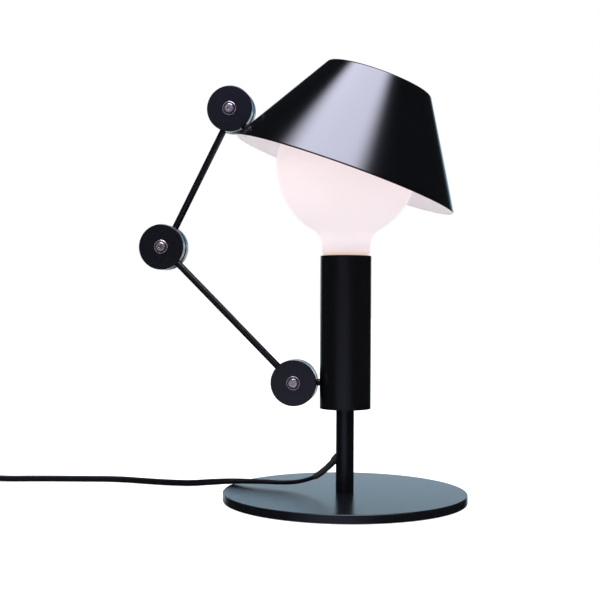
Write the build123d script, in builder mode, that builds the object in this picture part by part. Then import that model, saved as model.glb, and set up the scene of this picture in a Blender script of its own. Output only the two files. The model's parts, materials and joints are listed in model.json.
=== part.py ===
from build123d import *
from math import acos, asin, atan2, ceil, cos, degrees, pi, radians, sin, sqrt, tan
import os

os.makedirs("parts", exist_ok=True)

# Table lamp: a round base, a post and a lampholder housing on one vertical axis, and a
# conical shade carried on two arms by three friction joints. Millimetres, +Z up. The
# origin is on the lamp's axis at the table's surface, the arms move in planes parallel
# to XZ, and -Y is the front, where the joints' screws show.

# Clearances
slip_fit = 0.05
running_fit = 0.05
loose_fit = 0.1

# Base
base_diameter = 216.0
base_thickness = 7.5
base_edge = 0.8
pad_diameter = 204.0
pad_thickness = 2.0
pad_proud = 0.5

# Base screw
base_screw_diameter = 6.0
base_screw_length = 15.0
base_screw_head_diameter = 12.0
base_screw_head_height = 2.4
base_screw_key = 4.0
base_washer_diameter = 18.0
base_washer_thickness = 1.0

# Post
post_diameter = 16.0
post_wall = 1.5
post_top_height = 91.9
post_insert_length = 14.0

# Housing
housing_diameter = 45.5
housing_wall = 1.8
housing_bottom_height = 81.4
housing_top_height = 216.6
housing_edge = 0.4
cap_flange = 2.5
cap_spigot_height = 10.0

# Threaded tube and its nuts
nipple_diameter = 10.0
nipple_bore = 7.0
nipple_engagement = 12.0
nipple_nut_flats = 14.0
nipple_nut_height = 5.0

# Lampholder
holder_diameter = 38.0
holder_depth = 64.6
holder_base_height = 20.0
holder_floor = 4.0
holder_wall = 2.0
holder_sleeve_height = 34.0
holder_sleeve_wall = 3.5
insulator_height = 16.0
insulator_step = 4.0
screw_shell_wall = 0.6
screw_shell_height = 25.0
contact_thickness = 0.8
contact_width = 8.0
terminal_diameter = 5.0
terminal_height = 3.6
terminal_offset = 9.5

# Bulb: each length starts where the one before it ends, from the cap up
bulb_cap_clearance = 9.0
bulb_cap_diameter = 26.4
bulb_cap_wall = 0.4
bulb_cap_length = 22.0
bulb_thread_pitch = 3.6
bulb_thread_depth = 0.7
bulb_thread_turns = 5
bulb_insulator_diameter = 20.0
bulb_contact_diameter = 9.0
bulb_contact_height = 1.6
bulb_contact_reach = 3.6
neck_foot_sunk = 4.0
neck_foot_length = 5.0
neck_foot_diameter = 25.4
neck_taper_length = 11.5
neck_shoulder_radius = 8.0
neck_length = 6.5
neck_diameter = 42.0
neck_blend_radius = 16.27
globe_diameter = 125.0
globe_wall = 1.0
stem_diameter = 14.0
stem_length = 59.0

# Friction joints: two discs on one screw, with a washer between them
disc_diameter = 40.8
disc_thickness = 8.6
disc_edge = 0.5
disc_gap = 3.3
rod_diameter = 6.0
rod_socket_depth = 9.0
joint_washer_diameter = 34.0
joint_screw_diameter = 5.0
joint_screw_head_diameter = 8.2
joint_screw_head_height = 2.8
joint_screw_key = 3.0
joint_screw_key_depth = 1.6
cup_diameter = 12.4
cup_bore_play = 0.1
cup_floor = 0.8
cup_rim_height = 1.9
cup_rim_width = 1.1
cup_recess_depth = 0.9
joint_nut_flats = 8.0
joint_nut_height = 4.0
nut_pocket_depth = 4.6

# Arms: their angles, counter-clockwise from +X as seen from the front, follow from their
# lengths and from where the shade's joint stands over the bulb
lower_joint_height = 104.2
housing_stub_gap = 1.2
lower_arm_length = 169.75
upper_arm_length = 137.3
shade_joint_offset = 102.797
shade_joint_rise = 51.55
stub_nut_flats = 10.0
stub_nut_height = 4.0
stub_tail = 1.0

# Shade
shade_mouth_diameter = 201.4
shade_top_diameter = 95.0
shade_height = 89.0
shade_wall = 1.0
shade_corner = 3.0
shade_tilt = 19.8
shade_stub_reach = 25.2
shade_rim_margin = 10.6

# Mains cord: the route's points are chosen by hand where it isn't coiled
cord_diameter = 5.4
cord_exit_height = 36.4
relief_length = 19.0
relief_root_diameter = 7.6
relief_tip_diameter = 6.6
relief_inside = 3.0
wire_diameter = 2.2
wire_offset = 1.3
lead_points = [
    (-35.0, 0.0, 11.8),
    (-74.0, 13.5, 13.2),
    (-114.0, 25.0, 18.0),
    (-151.0, 39.5, 5.2),
    (-188.0, 51.0, 2.8),
    (-226.0, 58.5, 2.8),
    (-264.0, 56.0, 2.8),
    (-304.0, 49.0, 2.8),
    (-340.0, 43.6, 2.8),
    (-362.0, 42.0, 6.0),
]

# In-line rocker switch, its long axis along X
switch_length = 62.0
switch_width = 25.0
switch_height = 16.5
switch_start_x = -376.0
switch_y = 42.0
switch_split_height = 6.0
switch_wall = 2.0
switch_corner = 8.0
switch_edge = 1.5
switch_terminal_length = 9.0
switch_terminal_width = 5.0
switch_terminal_height = 2.0
rocker_length = 19.6
rocker_width = 11.0
rocker_crown = 2.6
rocker_drop = 2.4
rocker_skirt = 2.2
rocker_tilt = 7.0
rocker_slot_play = 0.6
rocker_pin_diameter = 2.0
rocker_pin_length = 1.4
rocker_lug_width = 1.6
rocker_lug_length = 7.0
rocker_lug_height = 4.0
rocker_axis_drop = 3.4

# Put-away coil, in two layers, and its tie
coil_distance = 39.0
coil_middle_radius = 31.6
coil_turns = 6.25
coil_pitch = 6.05
coil_layer_step = 6.0
coil_start_angle = 90.0
link_run = 10.0
coil_floor_height = 3.7
coil_round_off = 0.12
tie_thickness = 0.7
tie_width = 9.0
tie_play = 0.25
tie_angle = 290.0

# Plug with two round pins, lying flat beside the coil
plug_width = 35.3
plug_thickness = 13.7
plug_length = 36.0
plug_neck_width = 11.0
plug_neck_thickness = 9.0
plug_shoulder = 14.0
plug_corner = 3.0
plug_pin_diameter = 4.0
plug_pin_length = 19.0
plug_pin_spacing = 18.6
plug_pin_root = 6.0
plug_pin_root_diameter = 3.0
plug_x = -510.0
plug_face_y = -60.0
tail_run = 15.0
tail_last_run = 19.0

# Places that follow from the sizes
base_top = pad_proud + base_thickness
post_bore = post_diameter - 2 * post_wall
housing_bore = housing_diameter - 2 * housing_wall
disc_radius = disc_diameter / 2
disc_pitch = disc_thickness + disc_gap
back_plane_y = 0.0
front_plane_y = back_plane_y - disc_pitch
front_face_y = front_plane_y - disc_thickness / 2
rear_face_y = back_plane_y + disc_thickness / 2
rod_inner_radius = disc_radius - rod_socket_depth


def along(start, length, angle):
    """A point in the arms' plane, as (x, z), at a length and an angle from another."""
    return (start[0] + length * cos(radians(angle)), start[1] + length * sin(radians(angle)))


# The bulb's heights, from the lampholder up. The arc that joins neck to globe touches both,
# so its centre is level with the neck's top
holder_bottom_height = housing_top_height - holder_depth
cup_top = holder_bottom_height + holder_base_height
shell_bottom = cup_top + insulator_step
bulb_cap_bottom_height = shell_bottom + bulb_cap_clearance
bulb_tip_height = bulb_cap_bottom_height - bulb_contact_reach
bulb_cap_top_height = bulb_cap_bottom_height + bulb_cap_length
neck_foot_height = bulb_cap_top_height - neck_foot_sunk
neck_taper_foot_height = neck_foot_height + neck_foot_length
neck_shoulder_height = neck_taper_foot_height + neck_taper_length
neck_top_height = neck_shoulder_height + neck_length
stem_top_height = neck_foot_height + stem_length
blend_reach = globe_diameter / 2 + neck_blend_radius
blend_centre = neck_diameter / 2 + neck_blend_radius
globe_drop = sqrt(blend_reach**2 - blend_centre**2)
globe_centre_height = neck_top_height + globe_drop

# The elbow is where the two arms, from their fixed ends, meet on the left
lower_joint = (-(housing_diameter / 2 + housing_stub_gap + disc_radius), lower_joint_height)
shade_joint = (-shade_joint_offset, globe_centre_height + shade_joint_rise)
joints_apart = sqrt((shade_joint[0] - lower_joint[0])**2 + (shade_joint[1] - lower_joint[1])**2)
joints_angle = degrees(atan2(shade_joint[1] - lower_joint[1], shade_joint[0] - lower_joint[0]))
lower_arm_share = (joints_apart**2 + lower_arm_length**2 - upper_arm_length**2) / (
    2 * joints_apart * lower_arm_length)
lower_arm_angle = joints_angle + degrees(acos(lower_arm_share))
elbow = along(lower_joint, lower_arm_length, lower_arm_angle)
upper_arm_angle = degrees(atan2(shade_joint[1] - elbow[1], shade_joint[0] - elbow[0]))

shade_mouth_radius = shade_mouth_diameter / 2
shade_top_radius = shade_top_diameter / 2
shade_slope = atan2(shade_mouth_radius - shade_top_radius, shade_height)
shade_wall_angle = 90.0 - degrees(shade_slope) - shade_tilt
shade_stub_angle = shade_wall_angle - 90.0
shade_wall_foot = along(shade_joint, shade_stub_reach, shade_stub_angle)
shade_rim_left = along(shade_wall_foot, -shade_rim_margin, shade_wall_angle)
shade_centre = along(shade_rim_left, shade_mouth_radius, -shade_tilt)


def front_plane(centre, y):
    """A plane that faces the front at depth y, its own origin at a joint's centre."""
    return Plane(origin=(centre[0], y, centre[1]), x_dir=(1, 0, 0), z_dir=(0, -1, 0))


def rod_plane(centre, y, angle, distance):
    """A plane square to a rod that leaves a joint's centre at an angle."""
    x, z = along(centre, distance, angle)
    direction = (cos(radians(angle)), 0, sin(radians(angle)))
    return Plane(origin=(x, y, z), x_dir=(0, 1, 0), z_dir=direction)


def finish(piece, name):
    """Label a finished piece and write it."""
    piece.part.label = name
    export_step(piece.part, f"parts/{name}.step")
    return piece.part


def ring(name, outer, inner, bottom, top):
    """A plain ring about the lamp's axis."""
    with BuildPart() as piece:
        with BuildSketch(Plane.XY.offset(bottom)):
            Circle(outer / 2)
            Circle(inner / 2, mode=Mode.SUBTRACT)
        extrude(amount=top - bottom)
    return finish(piece, name)


# Base plate with its pad, screw and washer
washer_pocket_top = pad_thickness + base_screw_head_height + base_washer_thickness + 0.2
pad_recess_top = pad_thickness

with BuildPart() as base_plate:
    with BuildSketch(Plane.XY.offset(pad_proud)):
        Circle(base_diameter / 2)
    extrude(amount=base_thickness)
    chamfer(base_plate.edges().filter_by(GeomType.CIRCLE), base_edge)
    with BuildSketch(Plane.XY):
        Circle(pad_diameter / 2 + loose_fit)
    extrude(amount=pad_recess_top, mode=Mode.SUBTRACT)
    with BuildSketch(Plane.XY):
        Circle(base_washer_diameter / 2 + loose_fit)
    extrude(amount=washer_pocket_top, mode=Mode.SUBTRACT)
    with BuildSketch(Plane.XY):
        Circle(base_screw_diameter / 2 + loose_fit)
    extrude(amount=base_top, mode=Mode.SUBTRACT)
finish(base_plate, "base_plate")

with BuildPart() as base_pad:
    with BuildSketch(Plane.XY):
        Circle(pad_diameter / 2)
    extrude(amount=pad_thickness)
finish(base_pad, "base_pad")

washer_bottom = washer_pocket_top - base_washer_thickness
ring("base_washer", base_washer_diameter, base_screw_diameter + 2 * loose_fit,
     washer_bottom, washer_pocket_top)

with BuildPart() as base_screw:
    with BuildSketch(Plane.XY.offset(washer_bottom)):
        Circle(base_screw_head_diameter / 2)
    extrude(amount=-base_screw_head_height)
    with BuildSketch(Plane.XY.offset(washer_bottom)):
        Circle(base_screw_diameter / 2)
    extrude(amount=base_screw_length)
    with BuildSketch(Plane.XY.offset(washer_bottom - base_screw_head_height)):
        RegularPolygon(base_screw_key / 2, 6, major_radius=False)
    extrude(amount=base_screw_head_height - 0.6, mode=Mode.SUBTRACT)
finish(base_screw, "base_screw")


# Cord exit: the strain relief's axis runs from inside the post down to the first corner
class Route:
    """A cord's free stretch: straight runs joined by arcs that meet them smoothly."""

    def __init__(self, points):
        self.points = [Vector(point) for point in points]

    def radii(self):
        """The arcs' radii: 0.45 of the shorter run over the tangent of half the turn."""
        found = []
        for before, corner, after in zip(self.points, self.points[1:], self.points[2:]):
            run_in = corner - before
            run_out = after - corner
            half_turn = radians(run_in.get_angle(run_out)) / 2
            found.append(0.45 * min(run_in.length, run_out.length) / tan(half_turn))
        return found

    def tube(self, name, diameter):
        """Sweep a round tube along the route, print its facts and write it."""
        with BuildPart() as piece:
            with BuildLine() as line:
                FilletPolyline(*self.points, radius=self.radii())
            with BuildSketch(Plane(origin=line.line @ 0, z_dir=line.line % 0)):
                Circle(diameter / 2)
            sweep()
        length = line.wire().length
        expected = pi * diameter**2 / 4 * length
        shown = ", ".join(f"{radius:.0f}" for radius in self.radii())
        print(f"{name}: length {length:.1f}, volume over section times length "
              f"{piece.part.volume / expected:.4f}, radii {shown}")
        finish(piece, name)
        return length


exit_point = Vector(-post_diameter / 2, 0, cord_exit_height)
exit_direction = (Vector(*lead_points[0]) - exit_point).normalized()
cord_start = exit_point - exit_direction * relief_inside
relief_plane = Plane(origin=cord_start, z_dir=exit_direction)

# Post with its two inserts; the strain relief goes through its side
with BuildPart() as post:
    with BuildSketch(Plane.XY.offset(base_top)):
        Circle(post_diameter / 2)
        Circle(post_bore / 2, mode=Mode.SUBTRACT)
    extrude(amount=post_top_height - base_top)
    with BuildSketch(relief_plane.offset(-relief_inside)):
        Circle(relief_root_diameter / 2 + slip_fit)
    extrude(amount=2 * relief_inside + relief_root_diameter, mode=Mode.SUBTRACT)
finish(post, "post")

ring("post_bottom_insert", post_bore - 2 * slip_fit, base_screw_diameter + 2 * slip_fit,
     base_top, base_top + post_insert_length)
ring("post_top_insert", post_bore - 2 * slip_fit, nipple_diameter + 2 * slip_fit,
     post_top_height - post_insert_length, post_top_height)

with BuildPart() as strain_relief:
    with BuildSketch(relief_plane):
        Circle(relief_root_diameter / 2)
    with BuildSketch(relief_plane.offset(relief_inside + relief_length)):
        Circle(relief_tip_diameter / 2)
    loft()
    with BuildSketch(relief_plane):
        Circle(cord_diameter / 2 + loose_fit)
    extrude(amount=relief_inside + relief_length, mode=Mode.SUBTRACT)
finish(strain_relief, "strain_relief")

# Housing: a tube that stands on a flush bottom cap, which hangs on the post's top
cap_top = housing_bottom_height + cap_flange
spigot_top = cap_top + cap_spigot_height
lower_stub_direction = 0.0

with BuildPart() as housing_tube:
    with BuildSketch(Plane.XY.offset(cap_top)):
        Circle(housing_diameter / 2)
        Circle(housing_bore / 2, mode=Mode.SUBTRACT)
    extrude(amount=housing_top_height - cap_top)
    top_edges = housing_tube.edges().filter_by(GeomType.CIRCLE).group_by(Axis.Z)[-1]
    chamfer(top_edges, housing_edge)
    with BuildSketch(rod_plane(lower_joint, back_plane_y, lower_stub_direction, disc_radius)):
        Circle(rod_diameter / 2 + slip_fit)
    extrude(amount=housing_stub_gap + housing_wall * 2, mode=Mode.SUBTRACT)
finish(housing_tube, "housing_tube")

with BuildPart() as housing_bottom_cap:
    with BuildSketch(Plane.XY.offset(housing_bottom_height)):
        Circle(housing_diameter / 2)
    extrude(amount=cap_flange)
    lower_edge = housing_bottom_cap.edges().filter_by(GeomType.CIRCLE).group_by(Axis.Z)[0]
    chamfer(lower_edge, housing_edge)
    with BuildSketch(Plane.XY.offset(cap_top)):
        Circle(housing_bore / 2 - slip_fit)
    extrude(amount=cap_spigot_height)
    with BuildSketch(Plane.XY.offset(housing_bottom_height)):
        Circle(post_diameter / 2 + slip_fit)
    extrude(amount=post_top_height - housing_bottom_height, mode=Mode.SUBTRACT)
    with BuildSketch(Plane.XY.offset(housing_bottom_height)):
        Circle(nipple_diameter / 2 + slip_fit)
    extrude(amount=cap_flange + cap_spigot_height, mode=Mode.SUBTRACT)
finish(housing_bottom_cap, "housing_bottom_cap")

ring("threaded_tube", nipple_diameter, nipple_bore,
     post_top_height - nipple_engagement, holder_bottom_height + holder_floor)

with BuildPart() as threaded_tube_nuts:
    for nut_bottom in (spigot_top, holder_bottom_height - nipple_nut_height):
        with BuildSketch(Plane.XY.offset(nut_bottom)):
            RegularPolygon(nipple_nut_flats / 2, 6, major_radius=False)
            Circle(nipple_diameter / 2 + slip_fit, mode=Mode.SUBTRACT)
        extrude(amount=nipple_nut_height)
finish(threaded_tube_nuts, "threaded_tube_nuts")

# Lampholder: base cup, insulator with contact and terminals, screw shell and sleeve
holder_cavity = holder_diameter - 2 * holder_wall
insulator_bottom = shell_bottom - insulator_height
shell_bore = bulb_cap_diameter + 2 * 0.4
shell_outside = shell_bore + 2 * screw_shell_wall
sleeve_bore = holder_diameter - 2 * holder_sleeve_wall

with BuildPart() as holder_base:
    with BuildSketch(Plane.XY.offset(holder_bottom_height)):
        Circle(holder_diameter / 2)
    extrude(amount=holder_base_height)
    with BuildSketch(Plane.XY.offset(holder_bottom_height + holder_floor)):
        Circle(holder_cavity / 2)
    extrude(amount=holder_base_height - holder_floor, mode=Mode.SUBTRACT)
    with BuildSketch(Plane.XY.offset(holder_bottom_height)):
        Circle(nipple_diameter / 2 + slip_fit)
    extrude(amount=holder_floor, mode=Mode.SUBTRACT)
finish(holder_base, "lampholder_base")

with BuildPart() as holder_insulator:
    with BuildSketch(Plane.XY.offset(insulator_bottom)):
        Circle(holder_cavity / 2 - slip_fit)
    extrude(amount=insulator_height - insulator_step)
    with BuildSketch(Plane.XY.offset(cup_top)):
        Circle(sleeve_bore / 2 - slip_fit)
    extrude(amount=insulator_step)
finish(holder_insulator, "lampholder_insulator")

ring("lampholder_sleeve", holder_diameter, sleeve_bore, cup_top, cup_top + holder_sleeve_height)
ring("lampholder_screw_shell", shell_outside, shell_bore,
     shell_bottom, shell_bottom + screw_shell_height)

with BuildPart() as centre_contact:
    contact_rise = bulb_tip_height - shell_bottom
    with BuildSketch(Plane.XZ.offset(-contact_width / 2)):
        with BuildLine():
            Polyline(
                (-contact_width, shell_bottom),
                (0, shell_bottom),
                (contact_width / 2, shell_bottom + contact_rise),
                (-contact_width / 2, shell_bottom + contact_rise),
                (-contact_width / 2, shell_bottom + contact_rise - contact_thickness),
                (contact_width / 2 - 2 * contact_thickness,
                 shell_bottom + contact_rise - contact_thickness),
                (-contact_thickness, shell_bottom + contact_thickness),
                (-contact_width, shell_bottom + contact_thickness),
                close=True,
            )
        make_face()
    extrude(amount=contact_width)
finish(centre_contact, "centre_contact")

terminal_spots = [(terminal_offset, wire_offset), (-terminal_offset, -wire_offset)]
with BuildPart() as terminal_screws:
    with BuildSketch(Plane.XY.offset(insulator_bottom)):
        with Locations(*terminal_spots):
            Circle(terminal_diameter / 2)
    extrude(amount=-terminal_height)
finish(terminal_screws, "terminal_screws")

# The two wires run from the cord's end inside the post to the terminals
wire_bend = 3.0
wire_end_height = insulator_bottom - terminal_height / 2
wire_solids = []
for side in (1, -1):
    side_step = Vector(0, side * wire_offset, 0)
    wire_turn = cord_start - exit_direction * (cord_start.X / exit_direction.X)
    wire_route = [
        cord_start + side_step,
        wire_turn + side_step,
        Vector(0, 0, wire_end_height) + side_step,
        Vector(side * (terminal_offset - terminal_diameter / 2), 0, wire_end_height) + side_step,
    ]
    with BuildPart() as wire:
        with BuildLine() as wire_line:
            FilletPolyline(*wire_route, radius=wire_bend)
        with BuildSketch(Plane(origin=wire_line.line @ 0, z_dir=wire_line.line % 0)):
            Circle(wire_diameter / 2)
        sweep()
    wire_solids.append(wire.part.solid())
with BuildPart() as inner_wires:
    add(wire_solids)
finish(inner_wires, "inner_wires")


# Bulb: an opal globe that narrows to a neck, with a screw cap
def bulb_glass(inset):
    """The solid inside the glass's outline, drawn in by an inset."""
    globe_radius = globe_diameter / 2 - inset
    neck_radius = neck_diameter / 2 - inset
    foot_radius = neck_foot_diameter / 2 - inset
    touch_x = globe_radius * blend_centre / blend_reach
    touch_z = globe_centre_height - globe_radius * globe_drop / blend_reach
    blend_radius = neck_blend_radius + inset
    middle = asin(globe_drop / blend_reach) / 2
    middle_x = blend_centre - blend_radius * cos(middle)
    middle_z = neck_top_height + blend_radius * sin(middle)
    with BuildPart() as glass:
        with BuildSketch(Plane.XZ):
            with BuildLine():
                Line((0, neck_foot_height), (foot_radius, neck_foot_height))
                Line((foot_radius, neck_foot_height), (foot_radius, neck_taper_foot_height))
                Line((foot_radius, neck_taper_foot_height), (neck_radius, neck_shoulder_height))
                Line((neck_radius, neck_shoulder_height), (neck_radius, neck_top_height))
                ThreePointArc((neck_radius, neck_top_height), (middle_x, middle_z),
                              (touch_x, touch_z))
                ThreePointArc((touch_x, touch_z), (globe_radius, globe_centre_height),
                              (0, globe_centre_height + globe_radius))
                Line((0, globe_centre_height + globe_radius), (0, neck_foot_height))
            make_face()
        revolve(axis=Axis.Z)
        shoulder = glass.edges().filter_by(GeomType.CIRCLE).filter_by_position(
            Axis.Z, neck_shoulder_height - 0.01, neck_shoulder_height + 0.01)
        fillet(shoulder, neck_shoulder_radius - inset)
    return glass.part


with BuildPart() as bulb_globe:
    add(bulb_glass(0.0))
    add(bulb_glass(globe_wall), mode=Mode.SUBTRACT)
    with BuildSketch(Plane.XY.offset(neck_foot_height)):
        Circle(neck_foot_diameter / 2 - globe_wall)
    extrude(amount=globe_wall, mode=Mode.SUBTRACT)
finish(bulb_globe, "bulb_globe")

cap_root_radius = bulb_cap_diameter / 2 - bulb_thread_depth
with BuildPart() as bulb_screw_cap:
    with BuildSketch(Plane.XZ):
        with BuildLine():
            thread_bottom = bulb_cap_bottom_height + bulb_thread_pitch / 2
            outline = [(cap_root_radius, bulb_cap_bottom_height)]
            for turn in range(bulb_thread_turns):
                root_height = thread_bottom + turn * bulb_thread_pitch
                outline.append((cap_root_radius, root_height - bulb_thread_pitch / 4))
                outline.append((bulb_cap_diameter / 2, root_height))
                outline.append((cap_root_radius, root_height + bulb_thread_pitch / 4))
            outline.append((bulb_cap_diameter / 2 + bulb_cap_wall, bulb_cap_top_height - 1.6))
            outline.append((bulb_cap_diameter / 2 + bulb_cap_wall, bulb_cap_top_height))
            outline.append((neck_foot_diameter / 2 + slip_fit, bulb_cap_top_height))
            outline.append((neck_foot_diameter / 2 + slip_fit, neck_foot_height - slip_fit))
            outline.append((cap_root_radius - bulb_cap_wall, neck_foot_height - slip_fit))
            outline.append((cap_root_radius - bulb_cap_wall, bulb_cap_bottom_height))
            Polyline(*outline, close=True)
        make_face()
    revolve(axis=Axis.Z)
finish(bulb_screw_cap, "bulb_screw_cap")

with BuildPart() as bulb_insulator:
    with BuildSketch(Plane.XY.offset(bulb_cap_bottom_height)):
        Circle(cap_root_radius - bulb_cap_wall - slip_fit)
    extrude(amount=2.0)
    with BuildSketch(Plane.XY.offset(bulb_cap_bottom_height)):
        Circle(bulb_insulator_diameter / 2)
    with BuildSketch(Plane.XY.offset(bulb_tip_height + bulb_contact_height)):
        Circle(bulb_contact_diameter / 2)
    loft()
finish(bulb_insulator, "bulb_insulator")

with BuildPart() as bulb_tip_contact:
    with BuildSketch(Plane.XY.offset(bulb_tip_height)):
        Circle(bulb_contact_diameter / 2)
    extrude(amount=bulb_contact_height)
    tip_edge = bulb_tip_contact.edges().filter_by(GeomType.CIRCLE).group_by(Axis.Z)[0]
    fillet(tip_edge, bulb_contact_height / 2)
finish(bulb_tip_contact, "bulb_tip_contact")

with BuildPart() as bulb_stem:
    with BuildSketch(Plane.XY.offset(neck_foot_height)):
        Circle(neck_foot_diameter / 2 - globe_wall - slip_fit)
    with BuildSketch(Plane.XY.offset(neck_top_height)):
        Circle(stem_diameter / 2)
    with BuildSketch(Plane.XY.offset(stem_top_height)):
        Circle(stem_diameter / 4)
    loft(ruled=True)
finish(bulb_stem, "bulb_stem")


# Friction joints
def joint_disc(name, centre, mid_y, rod_angles, is_front):
    """One disc: bored for the screw and the rods, with its cup or nut pocket."""
    with BuildPart() as disc:
        with BuildSketch(front_plane(centre, mid_y + disc_thickness / 2)):
            Circle(disc_radius)
        extrude(amount=disc_thickness)
        chamfer(disc.edges().filter_by(GeomType.CIRCLE), disc_edge)
        with BuildSketch(front_plane(centre, mid_y + disc_thickness / 2)):
            Circle(joint_screw_diameter / 2 + running_fit)
        extrude(amount=disc_thickness, mode=Mode.SUBTRACT)
        if is_front:
            with BuildSketch(front_plane(centre, mid_y - disc_thickness / 2)):
                Circle(cup_diameter / 2 + slip_fit)
            extrude(amount=-cup_recess_depth, mode=Mode.SUBTRACT)
        else:
            with BuildSketch(front_plane(centre, mid_y + disc_thickness / 2)):
                RegularPolygon(joint_nut_flats / 2 + slip_fit, 6, major_radius=False)
            extrude(amount=nut_pocket_depth, mode=Mode.SUBTRACT)
        for angle in rod_angles:
            with BuildSketch(rod_plane(centre, mid_y, angle, rod_inner_radius)):
                Circle(rod_diameter / 2 + slip_fit)
            extrude(amount=rod_socket_depth, mode=Mode.SUBTRACT)
    return finish(disc, name)


def joint_hardware(prefix, centre):
    """The friction washer, cup washer, screw and nut of one joint."""
    gap_front_y = front_plane_y + disc_thickness / 2
    cup_floor_y = front_face_y + cup_recess_depth
    head_seat_y = cup_floor_y - cup_floor
    nut_front_y = rear_face_y - nut_pocket_depth
    nut_rear_y = nut_front_y + joint_nut_height

    with BuildPart() as washer:
        with BuildSketch(front_plane(centre, gap_front_y + disc_gap)):
            Circle(joint_washer_diameter / 2)
            Circle(joint_screw_diameter / 2 + running_fit, mode=Mode.SUBTRACT)
        extrude(amount=disc_gap)
    finish(washer, f"{prefix}_friction_washer")

    with BuildPart() as cup:
        with BuildSketch(front_plane(centre, cup_floor_y)):
            Circle(cup_diameter / 2)
        extrude(amount=cup_rim_height)
        rim_edges = cup.edges().filter_by(GeomType.CIRCLE).group_by(Axis.Y)[0]
        fillet(rim_edges, cup_rim_width * 0.45)
        with BuildSketch(front_plane(centre, head_seat_y)):
            Circle(cup_diameter / 2 - cup_rim_width)
        extrude(amount=cup_rim_height, mode=Mode.SUBTRACT)
        with BuildSketch(front_plane(centre, cup_floor_y)):
            Circle(joint_screw_diameter / 2 + cup_bore_play)
        extrude(amount=cup_rim_height, mode=Mode.SUBTRACT)
    finish(cup, f"{prefix}_cup_washer")

    with BuildPart() as screw:
        with BuildSketch(front_plane(centre, head_seat_y)):
            Circle(joint_screw_head_diameter / 2)
        extrude(amount=joint_screw_head_height)
        crown = screw.edges().filter_by(GeomType.CIRCLE).group_by(Axis.Y)[0]
        fillet(crown, joint_screw_head_height * 0.3)
        with BuildSketch(front_plane(centre, head_seat_y - joint_screw_head_height)):
            RegularPolygon(joint_screw_key / 2, 6, major_radius=False)
        extrude(amount=-joint_screw_key_depth, mode=Mode.SUBTRACT)
        with BuildSketch(front_plane(centre, nut_rear_y)):
            Circle(joint_screw_diameter / 2)
        extrude(amount=nut_rear_y - head_seat_y)
    finish(screw, f"{prefix}_screw")

    with BuildPart() as nut:
        with BuildSketch(front_plane(centre, nut_rear_y)):
            RegularPolygon(joint_nut_flats / 2, 6, major_radius=False)
            Circle(joint_screw_diameter / 2 + slip_fit, mode=Mode.SUBTRACT)
        extrude(amount=joint_nut_height)
    finish(nut, f"{prefix}_nut")


lower_arm_back = lower_arm_angle + 180.0
upper_arm_back = upper_arm_angle + 180.0
joint_disc("lower_joint_back_disc", lower_joint, back_plane_y, [lower_stub_direction], False)
joint_disc("lower_joint_front_disc", lower_joint, front_plane_y, [lower_arm_angle], True)
joint_disc("elbow_front_disc", elbow, front_plane_y, [lower_arm_back], True)
joint_disc("elbow_back_disc", elbow, back_plane_y, [upper_arm_angle], False)
joint_disc("shade_joint_back_disc", shade_joint, back_plane_y, [upper_arm_back], False)
joint_disc("shade_joint_front_disc", shade_joint, front_plane_y, [shade_stub_angle], True)
joint_hardware("lower_joint", lower_joint)
joint_hardware("elbow", elbow)
joint_hardware("shade_joint", shade_joint)


# Arms and stubs: round rods pushed into the discs' sockets
def rod(name, centre, y, angle, start, end):
    """A round rod along a line that leaves a joint's centre."""
    with BuildPart() as piece:
        with BuildSketch(rod_plane(centre, y, angle, start)):
            Circle(rod_diameter / 2)
        extrude(amount=end - start)
    return finish(piece, name)


def stub_nut(name, centre, y, angle, start):
    """A hex nut on a stub's threaded end."""
    with BuildPart() as piece:
        with BuildSketch(rod_plane(centre, y, angle, start)):
            RegularPolygon(stub_nut_flats / 2, 6, major_radius=False)
            Circle(rod_diameter / 2 + slip_fit, mode=Mode.SUBTRACT)
        extrude(amount=stub_nut_height)
    return finish(piece, name)


rod("lower_arm", lower_joint, front_plane_y, lower_arm_angle,
    rod_inner_radius, lower_arm_length - rod_inner_radius)
rod("upper_arm", elbow, back_plane_y, upper_arm_angle,
    rod_inner_radius, upper_arm_length - rod_inner_radius)

# the housing's bore is round, so its nut's corners set how close it comes to the wall
nut_corner = stub_nut_flats / 2 / cos(radians(30))
bore_radius = housing_bore / 2
nut_seat = abs(lower_joint[0]) - sqrt(bore_radius**2 - nut_corner**2) + slip_fit
rod("housing_stub", lower_joint, back_plane_y, lower_stub_direction,
    rod_inner_radius, nut_seat + stub_nut_height + stub_tail)
stub_nut("housing_stub_nut", lower_joint, back_plane_y, lower_stub_direction, nut_seat)

shade_nut_seat = shade_stub_reach + shade_wall + nut_corner**2 / shade_mouth_diameter
rod("shade_stub", shade_joint, front_plane_y, shade_stub_angle,
    rod_inner_radius, shade_nut_seat + stub_nut_height + stub_tail)
stub_nut("shade_stub_nut", shade_joint, front_plane_y, shade_stub_angle, shade_nut_seat)

# Shade: a sheet cone with a closed top, revolved about its tilted axis
tilt = radians(shade_tilt)
shade_axis_direction = (sin(tilt), 0, cos(tilt))
shade_origin = (shade_centre[0], front_plane_y, shade_centre[1])
shade_plane = Plane(origin=shade_origin, x_dir=(cos(tilt), 0, -sin(tilt)), z_dir=(0, -1, 0))
wall_across = shade_wall / cos(shade_slope)
inner_height = shade_height - shade_wall
inner_mouth = shade_mouth_radius - wall_across
inner_top = inner_mouth - inner_height * tan(shade_slope)

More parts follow.
